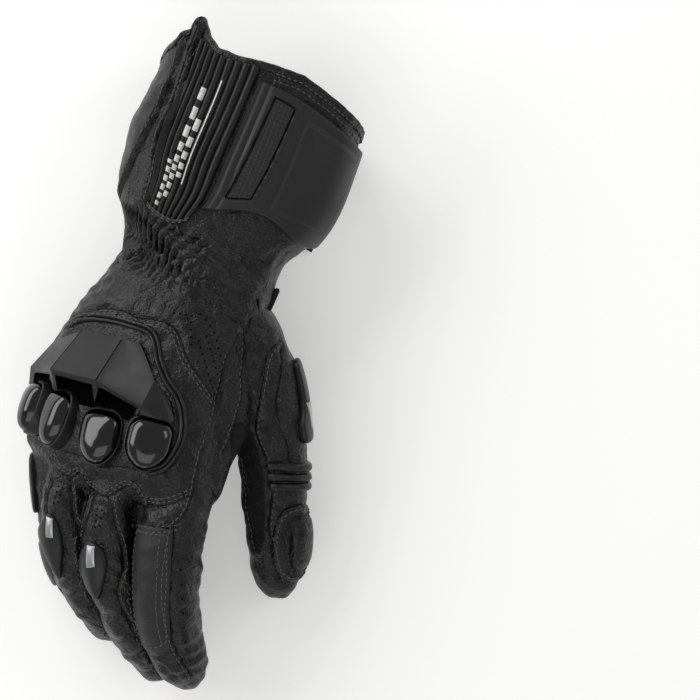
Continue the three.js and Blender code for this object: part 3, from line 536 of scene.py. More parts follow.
def hollow_band(name, start, end, rings, angles, inside_rings):
    """A hollow tube of leather between two stations, its outer and inner skins joined round both rims."""
    tube = TUBES["body"]
    first = start(angles) if callable(start) else np.full(len(angles), float(start))
    down, up = np.linspace(0, 1, rings + 1), np.linspace(1, 0, inside_rings + 1)
    outer = [surface(tube, first + (end - first) * s, angles, 0.0) for s in down]
    inner = [surface(tube, first + (end - first) * s, angles, -WALL) for s in up]
    made = mesh_object(name, *skinned(outer + inner, ring=True))
    points, normals = coordinates(made)
    outside = np.arange(len(points)) < (rings + 1) * len(angles)
    points += normals * (outside * unevenness(points, 0.22, 0.12, 3))[:, None]
    points[:, 2] = np.maximum(points[:, 2], CUFF_FLOOR - 0.3)
    reshape_mesh(made, points)
    return made


CUFF_RINGS = 96
CUFF_ANGLES = spread((0, 70, 50), (70, 200, 230), (200, 360, 90))
cuff = hollow_band("cuff_leather", cuff_start, CUFF_END, CUFF_RINGS, CUFF_ANGLES, 24)
ring_middles = (np.arange(CUFF_RINGS) + 0.5)[:, None] / CUFF_RINGS
face_stations = cuff_start(CUFF_ANGLES) + (CUFF_END - cuff_start(CUFF_ANGLES)) * ring_middles
past_gusset = CUFF_ANGLES - np.interp(face_stations, GUSSET_LINE["station"], GUSSET_LINE["angle"])
past_pipe = CUFF_ANGLES - np.interp(face_stations, PIPE_LINE["station"], PIPE_LINE["angle"])
smooth_part = (past_gusset > 1.5) & (CUFF_ANGLES < 194)
folded_part = (past_gusset <= 1.5) & (past_pipe > -1.5)
finish_of_face = np.zeros(len(cuff.data.polygons), int)
finish_of_face[: face_stations.size] = np.where(smooth_part, 1, np.where(folded_part, 2, 0)).ravel()
piece(cuff, "leather", "cuff", materials=[grain_leather, smooth_leather, creased_leather])
cuff.data.polygons.foreach_set("material_index", finish_of_face)

WRIST_ANGLES = spread((0, 70, 50), (70, 200, 240), (200, 360, 90))
wrist = hollow_band("wrist_leather", CUFF_END - 0.02, WRIST_END, 64, WRIST_ANGLES, 12)
piece(wrist, "leather", "wrist_gather", materials=[creased_leather])

# The hand and its stalls start as filled tubes, which a fine remesh fuses and a smoothing softens
VOXEL = 1.0
hand = tube_solid("hand_leather", TUBES["body"], WRIST_END - 0.8, len(BODY["x"]) - 1, 60, 160)
solids = [hand]
for name in DIGITS:
    tube = TUBES[name]
    solids.append(tube_solid(name, tube, 0, len(tube["rows"]["x"]) - 1, 60, 72))
with bpy.context.temp_override(active_object=hand, selected_editable_objects=solids, object=hand):
    bpy.ops.object.join()
remesh = hand.modifiers.new("fuse", "REMESH")
remesh.mode, remesh.voxel_size = "VOXEL", VOXEL * MM
soften = hand.modifiers.new("soften", "SMOOTH")
soften.factor, soften.iterations = 0.5, 8
applied(hand)


def tree_of(*objects):
    """A search tree over the faces of these objects, for seating things on the leather."""
    points, faces = [], []
    for item in objects:
        start = len(points)
        points += [v.co for v in item.data.vertices]
        faces += [[start + i for i in p.vertices] for p in item.data.polygons]
    return BVHTree.FromPolygons(points, faces)


def smooth_line(columns, step):
    """A smooth curve through rows of numbers, sampled about every `step` of their first two columns."""
    rows = np.asarray(columns, float)
    length = np.linalg.norm(np.diff(rows[:, :2], axis=0), axis=1).sum()
    s = np.linspace(0, len(rows) - 1, max(8, int(length / step)))
    return np.stack([at(rows[:, k], s) for k in range(rows.shape[1])], -1)


def draped(tree, line):
    """A line seen from above, laid on the leather: points and outward normals."""
    points, normals = [], []
    for x, y in smooth_line(line, 0.8):
        spot = Vector(((x - MIDDLE[0]) * MM, (y - MIDDLE[1]) * MM, 0.2))
        hit, normal, _, _ = tree.ray_cast(spot, Vector((0, 0, -1)))
        if hit:
            points.append(to_tables(hit))
            normals.append(normal)
    return np.array(points), np.array(normals)


def laid(tree, tube, line):
    """A line of stations and angles on a tube, laid on the leather: points and outward normals."""
    rows = smooth_line(line, 0.06)
    points, normals = [], []
    for point in surface(tube, rows[:, 0], rows[:, 1], 0.0):
        hit, normal, _, _ = tree.find_nearest(Vector(to_frame(point)))
        points.append(to_tables(hit))
        normals.append(normal)
    return np.array(points), np.array(normals)


# Sewn lines: the side that lies over the other, +1 for the right of the line's way as seen from outside,
# then how far to the side each of its rows of stitches is, and its points seen from above, mm.
SEAMS_FROM_ABOVE = [
    (-1, [-1.4, -3.1], [  # the finger roots
        (-80.2, -39.2), (-77.5, -41.9), (-71.4, -45.3), (-67.7, -50.6), (-66.7, -55.4), (-59.3, -59.4),
        (-54.6, -57.4), (-51.9, -62.1), (-47.9, -66.1), (-41.1, -68.5), (-35.8, -65.5), (-31.7, -63.5),
        (-28.3, -65.1), (-23.6, -70.8), (-18.2, -72.6), (-10.2, -71.5), (-2.7, -68.2)]),
    (1, [1.5], [  # from the thumb's crotch down the side of the index finger
        (15.6, -1.9), (12.2, -15.4), (10.1, -25.4), (5.5, -41.8), (2.6, -49.9), (-0.7, -68.2), (-5.0, -77.8),
        (-9.4, -83.0), (-12.7, -99.4), (-13.7, -118.1), (-10.3, -138.2), (-2.2, -155.0)]),
    (1, [1.4, 3.2], [  # border of the padded panel round the armour
        (-61.3, 12.0), (-54.5, 17.8), (-47.9, 20.6), (-41.1, 21.4), (-32.4, 19.4), (-27.0, 17.0),
        (-16.9, 15.4), (-10.8, 13.3), (-6.8, 8.6), (-3.4, -1.4), (3.3, -12.3), (9.4, -21.0)]),
    (1, [1.5], [(23.8, 11.0), (24.2, 2.4), (22.8, -10.6), (22.3, -23.0), (17.0, -40.3), (13.5, -48.0)]),
    (1, [], [(20.4, 7.7), (14.2, -5.3), (11.8, -17.3)]),
    (-1, [-1.5], [  # the thumb's back, along its inner side and round its tip
        (40.1, 5.8), (34.8, -1.9), (32.4, -14.9), (28.9, -34.4), (30.2, -42.1), (34.0, -52.3), (36.6, -66.1),
        (34.9, -82.4), (36.6, -91.7), (40.1, -109.8)]),
    (-1, [], [(41.8, 3.4), (41.3, -10.4), (39.1, -27.4), (43.4, -40.3), (45.6, -52.3)]),
    (1, [1.4], [(-49.9, -68.4), (-51.2, -77.8), (-54.6, -90.6)]),
    (-1, [-1.4], [(-39.8, -69.6), (-37.8, -81.1), (-34.4, -93.1), (-33.7, -102.7), (-37.1, -114.1),
                  (-33.1, -125.6), (-28.3, -131.0)]),
    (1, [1.4], [(-68.7, -61.0), (-71.4, -69.6), (-71.4, -77.1)]),
    (-1, [-1.4], [(-59.3, -61.0), (-58.0, -77.8), (-55.3, -83.9)]),
    (-1, [-1.3, 1.3], [(-30.0, -83.5), (-19.4, -84.0), (-8.4, -83.0)]),
    (1, [0.8], [  # the edge of the thumb's inner panel
        (22.6, -44.0), (22.9, -56.2), (23.8, -65.8), (25.2, -75.4), (27.0, -85.0), (29.0, -93.6)]),
    (1, [], [(-24.2, -56.2), (-32.4, -54.7), (-42.0, -53.3), (-51.6, -50.4), (-61.2, -47.5), (-71.8, -41.8)]),
]
SEAMS_ON_DIGITS = [  # digit, side over, stitch rows, line of stations and angles
    ("index", 1, [1.4], [(2.2, 198), (4, 197), (6, 200), (7.6, 205)]),
    ("index", -1, [], [(6.6, 130), (7.2, 105), (7.7, 100)]),
    ("middle", 1, [1.4], [(2.0, 205), (4, 203), (6, 205), (7.5, 210)]),
    ("middle", -1, [-1.4], [(2.4, -15), (4, -12), (6, -12), (7.5, -14)]),
    ("ring", 1, [1.4], [(2.0, 205), (4, 203), (6, 205), (7.5, 210)]),
    ("ring", -1, [-1.4], [(2.4, -15), (4, -12), (6, -12), (7.5, -14)]),
    ("little", 1, [1.4], [(1.0, 214), (3, 214), (5, 212), (6.4, 210)]),
    ("little", -1, [-1.4], [(1.6, -14), (3, -12), (5, -12), (6.4, -12)]),
    ("thumb", 1, [1.4], [(4.0, 205), (5.5, 203), (7, 203), (8.6, 210)]),
]
plain_tree = tree_of(hand)
seams = [(over, rows, *draped(plain_tree, line)) for over, rows, line in SEAMS_FROM_ABOVE]
seams += [(over, rows, *laid(plain_tree, TUBES[digit], line)) for digit, over, rows, line in SEAMS_ON_DIGITS]


def seam_distance(points):
    """Distance of each point to the nearest sewn line, and the same, plus on the side that lies over."""
    samples, across = [], []
    for over, _, line, normals in seams:
        way = np.gradient(line, axis=0)
        side = np.cross(way, normals) * over
        size = np.linalg.norm(side, axis=1)
        sound = np.flatnonzero(size > 1e-6)
        following = np.searchsorted(sound, np.arange(len(side))).clip(max=len(sound) - 1)
        side = (side[sound] / size[sound, None])[following]
        samples.append(line)
        across.append(side)
    samples, across = np.concatenate(samples), np.concatenate(across)
    tree = KDTree(len(samples))
    for i, point in enumerate(samples):
        tree.insert(point, i)
    tree.balance()
    nearest = np.array([tree.find(point)[1] for point in points])
    apart = points - samples[nearest]
    return np.linalg.norm(apart, axis=1), np.einsum("ij,ij->i", apart, across[nearest])


# Creases over the finger joints: digit, station, the angle they are deepest at, and depth in mm
JOINT_CREASES = [
    ("index", 3.0, 300, 0.7), ("index", 3.35, 290, 0.5), ("index", 5.2, 290, 0.7), ("index", 5.5, 270, 0.5),
    ("middle", 3.1, 280, 0.7), ("middle", 3.4, 270, 0.5), ("middle", 5.2, 280, 0.7), ("ring", 3.1, 280, 0.7),
    ("ring", 5.2, 270, 0.7), ("little", 2.6, 270, 0.6), ("little", 4.4, 270, 0.6), ("thumb", 5.0, 240, 0.8),
    ("thumb", 5.3, 200, 0.6), ("thumb", 4.0, 215, 0.8), ("thumb", 6.5, 190, 0.5), ("index", 2.2, 20, 0.6),
    ("index", 6.3, 40, 0.8), ("index", 7.1, 60, 0.8), ("middle", 6.2, 90, 1.1), ("ring", 6.0, 90, 1.1),
    ("middle", 5.5, 70, 1.1), ("ring", 5.2, 80, 1.1), ("middle", 4.7, 60, 0.9), ("ring", 4.6, 120, 0.8),
    ("little", 4.2, 90, 1.0), ("little", 5.4, 90, 1.0),
    ("index", 1.6, 60, 0.9), ("middle", 1.7, 90, 0.8), ("ring", 1.6, 90, 0.8), ("index", 6.7, 80, 0.8),
]
CREASE_STEP, CREASE_SWAY, CREASE_REACH = 6, 0.05, 26  # degrees, stations, mm


def crease_depth(points, normals):
    """How deep the creases over the joints are at each point, mm."""
    total = np.zeros(len(points))
    angles = np.arange(0, 360, CREASE_STEP)
    for digit, station, angle, depth in JOINT_CREASES:
        ring = surface(TUBES[digit], station + CREASE_SWAY * np.sin(np.radians(angles * 3)), angles)
        outwards = points - ring.mean(0)
        near = np.linalg.norm(outwards, axis=1) < CREASE_REACH
        outwards /= np.linalg.norm(outwards, axis=1, keepdims=True)
        aligned = np.einsum("ij,ij->i", outwards, normals)
        near = np.flatnonzero(near & (aligned > 0.45))
        apart = np.linalg.norm(points[near, None] - ring[None], axis=2)
        closest = apart.argmin(1)
        facing = np.cos(np.radians(closest * CREASE_STEP - angle)) * 0.5 + 0.5
        fold = bump(apart.min(1), 0, 1.5) - 0.5 * bump(apart.min(1), 3.2, 2.4)
        total[near] += ramp(aligned[near], 0.45, 0.8) * depth * facing**2 * fold
    return total


def edge_ends(made):
    """The two points of every edge of a mesh."""
    ends = np.empty(2 * len(made.data.edges), int)
    made.data.edges.foreach_get("vertices", ends)
    return ends.reshape(-1, 2)


def evened(values, ends, times):
    """Values on the points of a mesh, each averaged with those of its neighbours."""
    for _ in range(times):
        total, count = values.copy(), np.ones(len(values))
        for here, there in (ends.T, ends.T[::-1]):
            np.add.at(total, here, values[there])
            np.add.at(count, here, 1)
        values = total / count
    return values


points, normals = coordinates(hand)
creases = evened(np.clip(crease_depth(points, normals), -0.6, 1.1), edge_ends(hand), 2)
gap_to_seam, lap = seam_distance(points)
padding = -0.75 * bump(gap_to_seam, 0, 1.1) + 0.35 * bump(gap_to_seam, 4.5, 3.0)
padding += 0.3 * ramp(lap, -0.4, 0.6) * (1 - ramp(gap_to_seam, 1.5, 6)) - creases
padding += unevenness(points, 0.3, 0.16, 5)
points += normals * padding[:, None]
points[:, 2] = np.maximum(points[:, 2], 0)
reshape_mesh(hand, points)

cut(hand, tube_solid("wrist_cutter", TUBES["body"], CUFF_END - 1, WRIST_END - 0.03, 40, 120, GAP))
cut(hand, tube_solid("hollow", TUBES["body"], WRIST_END - 0.3, len(BODY["x"]) - 2.35, 20, 48, -WALL))
for name in ("index", "middle", "ring", "little", "thumb", "web"):
    tube = TUBES[name]
    cut(hand, tube_solid("hollow", tube, 0.15, len(tube["rows"]["x"]) - 2.2, 20, 24, -STALL_WALL))
points, _ = coordinates(hand)
gap_to_seam, lap = seam_distance(points)
THUMB_GUSSET = table("y left right", [  # mm, seen from above
    [-98, 27, 32], [-90, 24, 35], [-75, 21, 35.5], [-60, 19, 35], [-46, 17, 32], [-38, 17, 29.5],
    [-30, 19, 22],
])
# How much of the thumb's inner panel, between the sides in THUMB_GUSSET, gets painted shade
left, right = (np.interp(points[:, 1], THUMB_GUSSET["y"], THUMB_GUSSET[side]) for side in ("left", "right"))
thumb_shade_share = ramp(points[:, 0], left - 0.5, left + 0.5) * (1 - ramp(points[:, 0], right - 2.0, right - 1.4))
thumb_shade_share *= ramp(points[:, 1], -98, -96) * (1 - ramp(points[:, 1], -34, -31))
# Where the nearest line changes from one to another its sign jumps, so the lap is faded out there
ends = edge_ends(hand)
jump = (lap[ends[:, 0]] * lap[ends[:, 1]] < 0) & (gap_to_seam[ends].min(1) > 1.6)
calm = np.ones(len(points))
calm[ends[jump]] = 0
for _ in range(2):
    low = calm[ends].min(1)
    np.minimum.at(calm, ends[:, 0], low)
    np.minimum.at(calm, ends[:, 1], low)
within_reach = np.clip(lap, -SEAM_REACH, SEAM_REACH)
for label, values in (("seam", within_reach), ("sewn", calm * (1 - ramp(gap_to_seam, 1.8, 3.2))),
                      ("gusset", thumb_shade_share)):
    hand.data.attributes.new(label, "FLOAT", "POINT").data.foreach_set("value", values)
piece(hand, "leather", "hand", "index_stall", "middle_stall", "ring_stall", "little_stall", "thumb_stall",
      materials=[sewn_leather])
leather_tree = tree_of(hand, cuff, wrist)

# Cuff binding
# A strip of thin leather folded over the cuff's edge from outside to lining, and sewn through near its rim.
# BINDING says how far down from the edge and how far out from the leather each corner of its section is, mm.
BINDING = [
    (2.9, -0.2), (2.9, 0.5), (2.6, 0.8), (1.4, 0.95), (0.2, 1.0), (-0.6, 0.75), (-1.0, 0.1), (-1.15, -0.7),
    (-1.05, -1.7), (-0.6, -2.5), (0.2, -2.95), (1.4, -3.0), (2.7, -2.85), (2.7, -2.1), (0.4, -1.9),
    (0.3, 0.0),
]
BINDING_ANGLES = spread((0, 360, 300))
binding = mesh_object("cuff_binding", *skinned(
    [[surface(TUBES["body"], cuff_start(a, -down), a, off) for down, off in BINDING] for a in BINDING_ANGLES],
    ring=True))
points, normals = coordinates(binding)
points += normals * (0.1 * dimples(points, 5, 7))[:, None]
points[:, 2] = np.maximum(points[:, 2], 0.2)
reshape_mesh(binding, points)
piece(binding, "leather", "cuff_binding", materials=[grain_leather])

# Ribbed stretch panel
# Accordion leather: thin smooth leather gathered over elastic into nine lengthwise ribs, hemmed at its foot.
# Broken white bars are printed on three of the ribs and a thin line on a fourth.
PANEL = table("left right", [[134, 94.4], [129, 94.4], [124, 94.2]])
RIB_COUNT = 9
PANEL_SIZE = (36.0, 98.0)
accordion_leather = leather_finish("accordion_leather", "#191919", 0.4, 0.7, 0.12, 0.2)
# Foil print: it has worn thin in small flecks, so that its tone and shine vary
white_print, tree, shader, place = new_material("white_foil_print", "#d9d9d6", 0.42)
flecks = noise(tree, place, 1.4, Detail=6.0, Roughness=0.7)
worn = add_node(tree, "ShaderNodeMapRange", {"From Min": 0.3, "From Max": 0.6}, {"Value": flecks})
print_tone = add_node(tree, "ShaderNodeMix", {6: linear("#b4b4b0"), 7: linear("#e6e6e2")},
                      {0: worn.outputs[0]}, data_type="RGBA")
tree.links.new(print_tone.outputs[2], shader.inputs["Base Color"])


def crown(distance, width):
    """Height share of a rounded edge at a distance from it."""
    return np.sqrt(1 - (1 - np.clip(distance / width, 0, 1)) ** 2)


def from_edge(u, v, size):
    """Distance in mm to the edge of a sheet of this size, by shares across and along it."""
    return np.minimum(np.minimum(u, 1 - u) * size[0], np.minimum(v, 1 - v) * size[1])


def sheet_solid(name, top, bottom):
    """A closed solid between two grids of points, with walls round their edge; the top's faces come first."""
    rows, cols = top.shape[:2]
    layer = rows * cols
    index = np.arange(layer).reshape(rows, cols)
    quads = np.stack([index[:-1, :-1], index[:-1, 1:], index[1:, 1:], index[1:, :-1]], -1).reshape(-1, 4)
    rim = np.concatenate([index[0, :-1], index[:-1, -1], index[-1, :0:-1], index[:0:-1, 0]])
    after = np.roll(rim, -1)
    walls = np.stack([rim, after, after + layer, rim + layer], -1)
    faces = np.concatenate([quads, quads[:, ::-1] + layer, walls])
    return mesh_object(name, np.concatenate([top.reshape(-1, 3), bottom.reshape(-1, 3)]), faces.tolist())


def seated(tube, t, degrees, rise, reach=6.0):
    """Points at a rise above the real leather near a station and angle of a tube."""
    t, degrees, rise = np.broadcast_arrays(*(np.asarray(v, float) for v in (t, degrees, rise)))
    base = surface(tube, t, degrees, 0.0)
    out = surface(tube, t, degrees, 2.0) - base
    out /= np.maximum(np.linalg.norm(out, axis=-1, keepdims=True), 1e-9)
    flat_base, flat_out = base.reshape(-1, 3).copy(), out.reshape(-1, 3)
    for i, (point, way) in enumerate(zip(flat_base, flat_out)):
        start = Vector(to_frame(point + way * reach))
        hit, _, _, _ = leather_tree.ray_cast(start, Vector(-way), 2 * reach * MM)
        if hit:
            flat_base[i] = to_tables(hit)
    seat = flat_base.reshape(base.shape) + out * rise[..., None]
    seat[..., 2] = np.maximum(seat[..., 2], 0)
    return seat


def slab(name, tube, place, high, across, along, low=-0.6, seat=None):
    """A closed slab on a tube: `place` gives its stations and angles by shares across and along."""
    u, v = np.meshgrid(across, along)
    stations, angles = place(u, v)
    put = seat or surface
    top, bottom = (put(tube, stations, angles, rise) for rise in (high(u, v), low + 0 * u))
    return sheet_solid(name, top, bottom)


def panel_place(u, v):
    """The panel narrows a little, follows the edge at its top and sags at its foot."""
    left, right = at(PANEL["left"], 2 * v), at(PANEL["right"], 2 * v)
    sway = 0.35 * np.sin(9 * v + 4 * u) * np.sin(np.pi * u)
    angle = left + (right - left) * u + sway
    top = np.maximum(0.57, cuff_start(angle, -1.4))
    foot = np.interp(u, [0, 0.2, 0.5, 0.75, 0.92, 1], [3.82, 3.94, 4.06, 4.08, 3.96, 3.78])
    return top + (foot - top) * v, angle


def panel_rise(u, v):
    """Height of the ribs, which run out into a rolled hem, mm."""
    rib = 0.7 + 1.7 * np.abs(np.sin(np.pi * RIB_COUNT * u)) ** 0.7
    rib += 0.12 * np.sin(40 * v + 9 * np.floor(u * RIB_COUNT)) * np.sin(23 * v)
    hem = ramp(v, 0.957, 0.963)
    roll = 1.3 + 1.5 * np.sin(np.pi * np.clip((v - 0.957) / 0.043, 0, 1)) ** 0.5
    return (rib + (roll - rib) * hem) * (0.3 + 0.7 * crown(from_edge(u, v, PANEL_SIZE), 0.8))


BARS_ALONG, BAR_SHARE, LINE_RIB = 13, 0.62, 5
BAR_ROWS = [  # rib, shift of the bars, and first and last share along the panel
    (3, 0.0, 0.14, 0.84), (4, 0.5, 0.26, 0.62), (2, 0.5, 0.52, 0.92),
]
PANEL_ACROSS, PANEL_ALONG = RIB_COUNT * 12, 168
PANEL_COLUMNS, PANEL_ROWS = np.linspace(0, 1, PANEL_ACROSS + 1), np.linspace(0, 1, PANEL_ALONG + 1)
panel = slab("ribbed_panel", TUBES["body"], panel_place, panel_rise, PANEL_COLUMNS, PANEL_ROWS)
u, v = np.meshgrid(PANEL_COLUMNS[:-1] + 0.5 / PANEL_ACROSS, PANEL_ROWS[:-1] + 0.5 / PANEL_ALONG)
rib = np.floor(u * RIB_COUNT)
off_crest = abs(u * RIB_COUNT - rib - 0.5)
bars = (rib == LINE_RIB) & (off_crest < 0.1) & (v > 0.1) & (v < 0.66)
for number, shift, first, last in BAR_ROWS:
    painted = np.mod(v * BARS_ALONG + shift, 1) < BAR_SHARE
    bars |= (rib == number) & painted & (v > first) & (v < last) & (off_crest < 0.4)
finish_of_face = np.zeros(len(panel.data.polygons), int)
finish_of_face[: bars.size] = bars.ravel()
piece(panel, "accordion_leather", "ribbed_panel", materials=[accordion_leather, white_print], creases=60)
panel.data.polygons.foreach_set("material_index", finish_of_face)

# Closure flap and its inset
# A moulded rubber band, sewn on at the back of the cuff, that goes over the thumb side and hooks under it.
# Beside the ribs it has two low ridges, then a recess with a finely textured panel, then a raised field.
FLAP = table("angle start end", [
    [93, 0.82, 3.38], [80, 0.85, 3.02], [68, 0.91, 2.92], [55, 0.99, 3.02], [38, 1.08, 3.2],
    [15, 1.17, 3.24], [-10, 1.2, 3.1], [-28, 1.25, 3.02], [-42, 1.32, 2.9],
])
FLAP_THICK = 3.0
FLAP_SIZE = (124.0, 62.0)
INSERT = [(1.0, 85), (1.04, 75.5), (2.6, 78.5), (2.8, 87.5)]
FIELD = [(1.13, 66.5), (1.32, 16), (2.72, 20), (2.66, 66.5)]


def inside(t, degrees, corners):
    """Distance in mm to the outline of a polygon of stations and angles on the cuff, plus inside it."""
    x, y = t * MM_PER_STATION, degrees * MM_PER_DEGREE
    spots = np.array(corners) * (MM_PER_STATION, MM_PER_DEGREE)
    nearest, crossings = np.full(x.shape, 1e9), np.zeros(x.shape, int)
    for (x0, y0), (x1, y1) in zip(spots, np.roll(spots, -1, 0)):
        dx, dy = x1 - x0, y1 - y0
        s = np.clip(((x - x0) * dx + (y - y0) * dy) / (dx * dx + dy * dy), 0, 1)
        nearest = np.minimum(nearest, np.hypot(x - x0 - s * dx, y - y0 - s * dy))
        crosses = (y0 > y) != (y1 > y)
        crossings += crosses & (x < x0 + dx * (y - y0) / (dy if dy else 1e-9))
    return np.where(crossings % 2 == 1, nearest, -nearest)


def flap_place(u, v):
    """The flap runs round the cuff between the two stations of its table."""
    s = u * (len(FLAP["angle"]) - 1)
    start, end = at(FLAP["start"], s), at(FLAP["end"], s)
    return start + (end - start) * v, at(FLAP["angle"], s)


def flap_rise(u, v):
    """Height of the flap with its ridges, recess and raised field, mm."""
    t, a = flap_place(u, v)
    rise = GAP + FLAP_THICK * (0.35 + 0.65 * crown(from_edge(u, v, FLAP_SIZE), 1.6))
    rise -= 0.8 * bump(a, 91.4, 0.8) + 0.7 * bump(a, 88.9, 0.7)
    recess = inside(t, a, INSERT)
    rise += 0.3 * bump(recess, -1.7, 0.8) - 1.6 * ramp(recess, -0.9, -0.5)
    field = inside(t, a, FIELD)
    return rise + 0.5 * ramp(field, -0.5, 1.4) - 0.25 * bump(field, -0.9, 0.7) + 0.25 * ramp(field, 2, 14)


# Moulded rubber has fine pits from its tool and smears from handling
flap_rubber, tree, shader, place = new_material(
    "moulded_flap_rubber", "#232323", 0.46, Specular_IOR_Level=0.4)
add_relief(tree, shader, noise(tree, place, 0.9, Detail=3.0), 0.25, 0.08)
vary_roughness(tree, shader, noise(tree, place, 30, Detail=4.0), 0.42, 0.56, 0.35, 0.65)
flap = slab("closure_flap", TUBES["body"], flap_place, flap_rise,
            np.linspace(0, 1, 231), np.linspace(0, 1, 101))
piece(flap, "flap_rubber", "closure_flap", materials=[flap_rubber])

# A grid of small moulded pyramids, about 1.1 mm apart, across the inset
ribbed_rubber, tree, shader, place = new_material("pyramid_grip_rubber", "#1c1c1c", 0.55)
turned = add_node(tree, "ShaderNodeMapping", {"Rotation": (0, 0, math.radians(22))}, {"Vector": place})
crossing = {number: stripes(tree, turned.outputs[0], 1.1, way) for number, way in enumerate("XY")}
grid = add_node(tree, "ShaderNodeMath", {}, crossing, operation="MULTIPLY")
add_relief(tree, shader, grid.outputs[0], 0.8, 0.3)


def outline_of(corners, count):
    """Points along a closed outline of straight sides, evenly spread on each side."""
    spots = np.array(corners, float)
    steps = np.linspace(0, 1, count // len(spots), endpoint=False)[:, None]
    return np.concatenate([a + (b - a) * steps for a, b in zip(spots, np.roll(spots, -1, 0))])


def rounded_outline(rows, count):
    """A smooth closed curve through rows of stations and angles."""
    spots = np.array(rows, float)
    wrapped = np.concatenate([spots[-2:], spots, spots[:3]])
    s = 2 + np.linspace(0, len(spots), count, endpoint=False)
    return np.stack([at(wrapped[:, 0], s), at(wrapped[:, 1], s)], -1)


def cushion(rim, top, edge=0.14, lift=0.0, low=-2.0):
    """Rings of a pad, as share of its outline and rise: a wall, a rounded shoulder and a crowned top."""
    turns = np.radians([0, 25, 50, 70, 90])
    rings = [(1.0, low), (1.0, rim * 0.6)]
    rings += [(1 - edge * (1 - math.cos(x)), rim + (top - rim) * math.sin(x)) for x in turns]
    shares = (1 - edge) * np.array([0.9, 0.75, 0.55, 0.35, 0.15])
    return rings + [(share, top + lift * (1 - (share / (1 - edge)) ** 2)) for share in shares]


def pad(name, tube, outline, centre, rings, seat=None):
    """A pad on a tube: rings of an outline drawn in towards its centre, each at its rise."""
    put = seat or surface
    middle = np.array(centre, float)
    loops = []
    for share, rise, *slip in rings:
        spots = middle + (0, slip[0] if slip else 0) + (outline - middle) * share
        loops.append(put(tube, spots[:, 0], spots[:, 1], rise))
    return mesh_object(name, *skinned(loops))


insert = pad("flap_insert", TUBES["body"], outline_of(INSERT, 120), (1.86, 81.6),
             [(1, 1.2), (1, 3.0), (0.985, 3.3), (0.95, 3.5), (0.6, 3.55), (0.2, 3.6)])
piece(insert, "ribbed_rubber", "flap_insert", materials=[ribbed_rubber])

# Closure plate
# A flat moulded plate under the palm side, which the flap hooks to, with a cut-out, four slots and a window.
# The solid stays as packed; its window gets round vent holes in the last section.
# Its plastic has the fine grain of its mould.
plate_plastic, tree, shader, place = new_material("moulded_closure_plate", "#222222", 0.42)
add_relief(tree, shader, noise(tree, place, 1.2, Detail=3.0), 0.3, 0.1)
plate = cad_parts["closure_plate"]
for slot in plate.material_slots:
    slot.link = "OBJECT"
    slot.material = plate_plastic

# Wrist strap and its loop
# Polyester webbing 15 mm wide, sewn down at the thumb side, that runs through a wire loop at the palm.
STRAP_HALF = 7.5
STRAP_LINE = [(4.95, 352), (5.0, 330), (5.05, 308), (5.1, 286), (5.1, 276)]
# The weave follows the strap's length and width in mm, which its UV map holds
webbing, tree, shader, _ = new_material("woven_webbing", "#141414", 0.75, Sheen_Weight=0.15)
lengths = add_node(tree, "ShaderNodeUVMap")
warp, weft = (
    add_node(tree, "ShaderNodeTexWave", {"Scale": scale}, {"Vector": lengths.outputs[0]}, bands_direction=way)
    for scale, way in ((0.5, "Y"), (0.35, "X")))
woven = add_node(tree, "ShaderNodeMath", {}, {0: warp.outputs["Fac"], 1: weft.outputs["Fac"]},
                 operation="MULTIPLY")
add_relief(tree, shader, woven.outputs[0], 0.7, 0.35)


DEGREE_SHARE = 0.02  # of a station, that a degree counts as in the length of a line


def frames_along(tube, line, step, put=None):
    """Place, way, outward and sideways directions along a line of stations and angles on a tube."""
    rows = smooth_line(np.asarray(line, float) * (1, DEGREE_SHARE), step / MM_PER_STATION)
    rows = rows * (1, 1 / DEGREE_SHARE)
    place_at = (put or seated)(tube, rows[:, 0], rows[:, 1], 0.0)
    out = surface(tube, rows[:, 0], rows[:, 1], 2.0) - surface(tube, rows[:, 0], rows[:, 1], 0.0)
    way = np.gradient(place_at, axis=0)
    way /= np.linalg.norm(way, axis=1, keepdims=True)
    out -= way * np.einsum("ij,ij->i", out, way)[:, None]
    out /= np.linalg.norm(out, axis=1, keepdims=True)
    return place_at, way, out, np.cross(way, out)


def ribbon(name, tube, line, step, section, put=None):
    """A narrow band along a line on the leather; `section` lists its corners as sideways and rise."""
    place_at, _, out, across = frames_along(tube, line, step, put)
    loops = [[p + s * x + o * rise for x, rise in section] for p, o, s in zip(place_at, out, across)]
    return mesh_object(name, *skinned(loops))


def mirrored(half, *middle):
    """A section from its left half and its middle corners."""
    return [*half, *middle, *((-x, rise) for x, rise in reversed(half))]


STRAP_STEP = 1.2
strap_half_section = [(-STRAP_HALF, -0.4), (-STRAP_HALF, 0.9), (-7.2, 1.4), (-6.6, 1.65)]
strap_section = mirrored(strap_half_section, (0, 1.75))
strap = ribbon("wrist_strap", TUBES["body"], STRAP_LINE, STRAP_STEP, strap_section)
uv = strap.data.uv_layers.new(name="lengths")
rows_of_strap = len(strap_section)
for loop in strap.data.loops:
    ring_number, corner = divmod(loop.vertex_index, rows_of_strap)
    uv.data[loop.index].uv = (ring_number * STRAP_STEP, strap_section[min(corner, rows_of_strap - 1)][0])
piece(strap, "webbing", "wrist_strap", materials=[webbing])

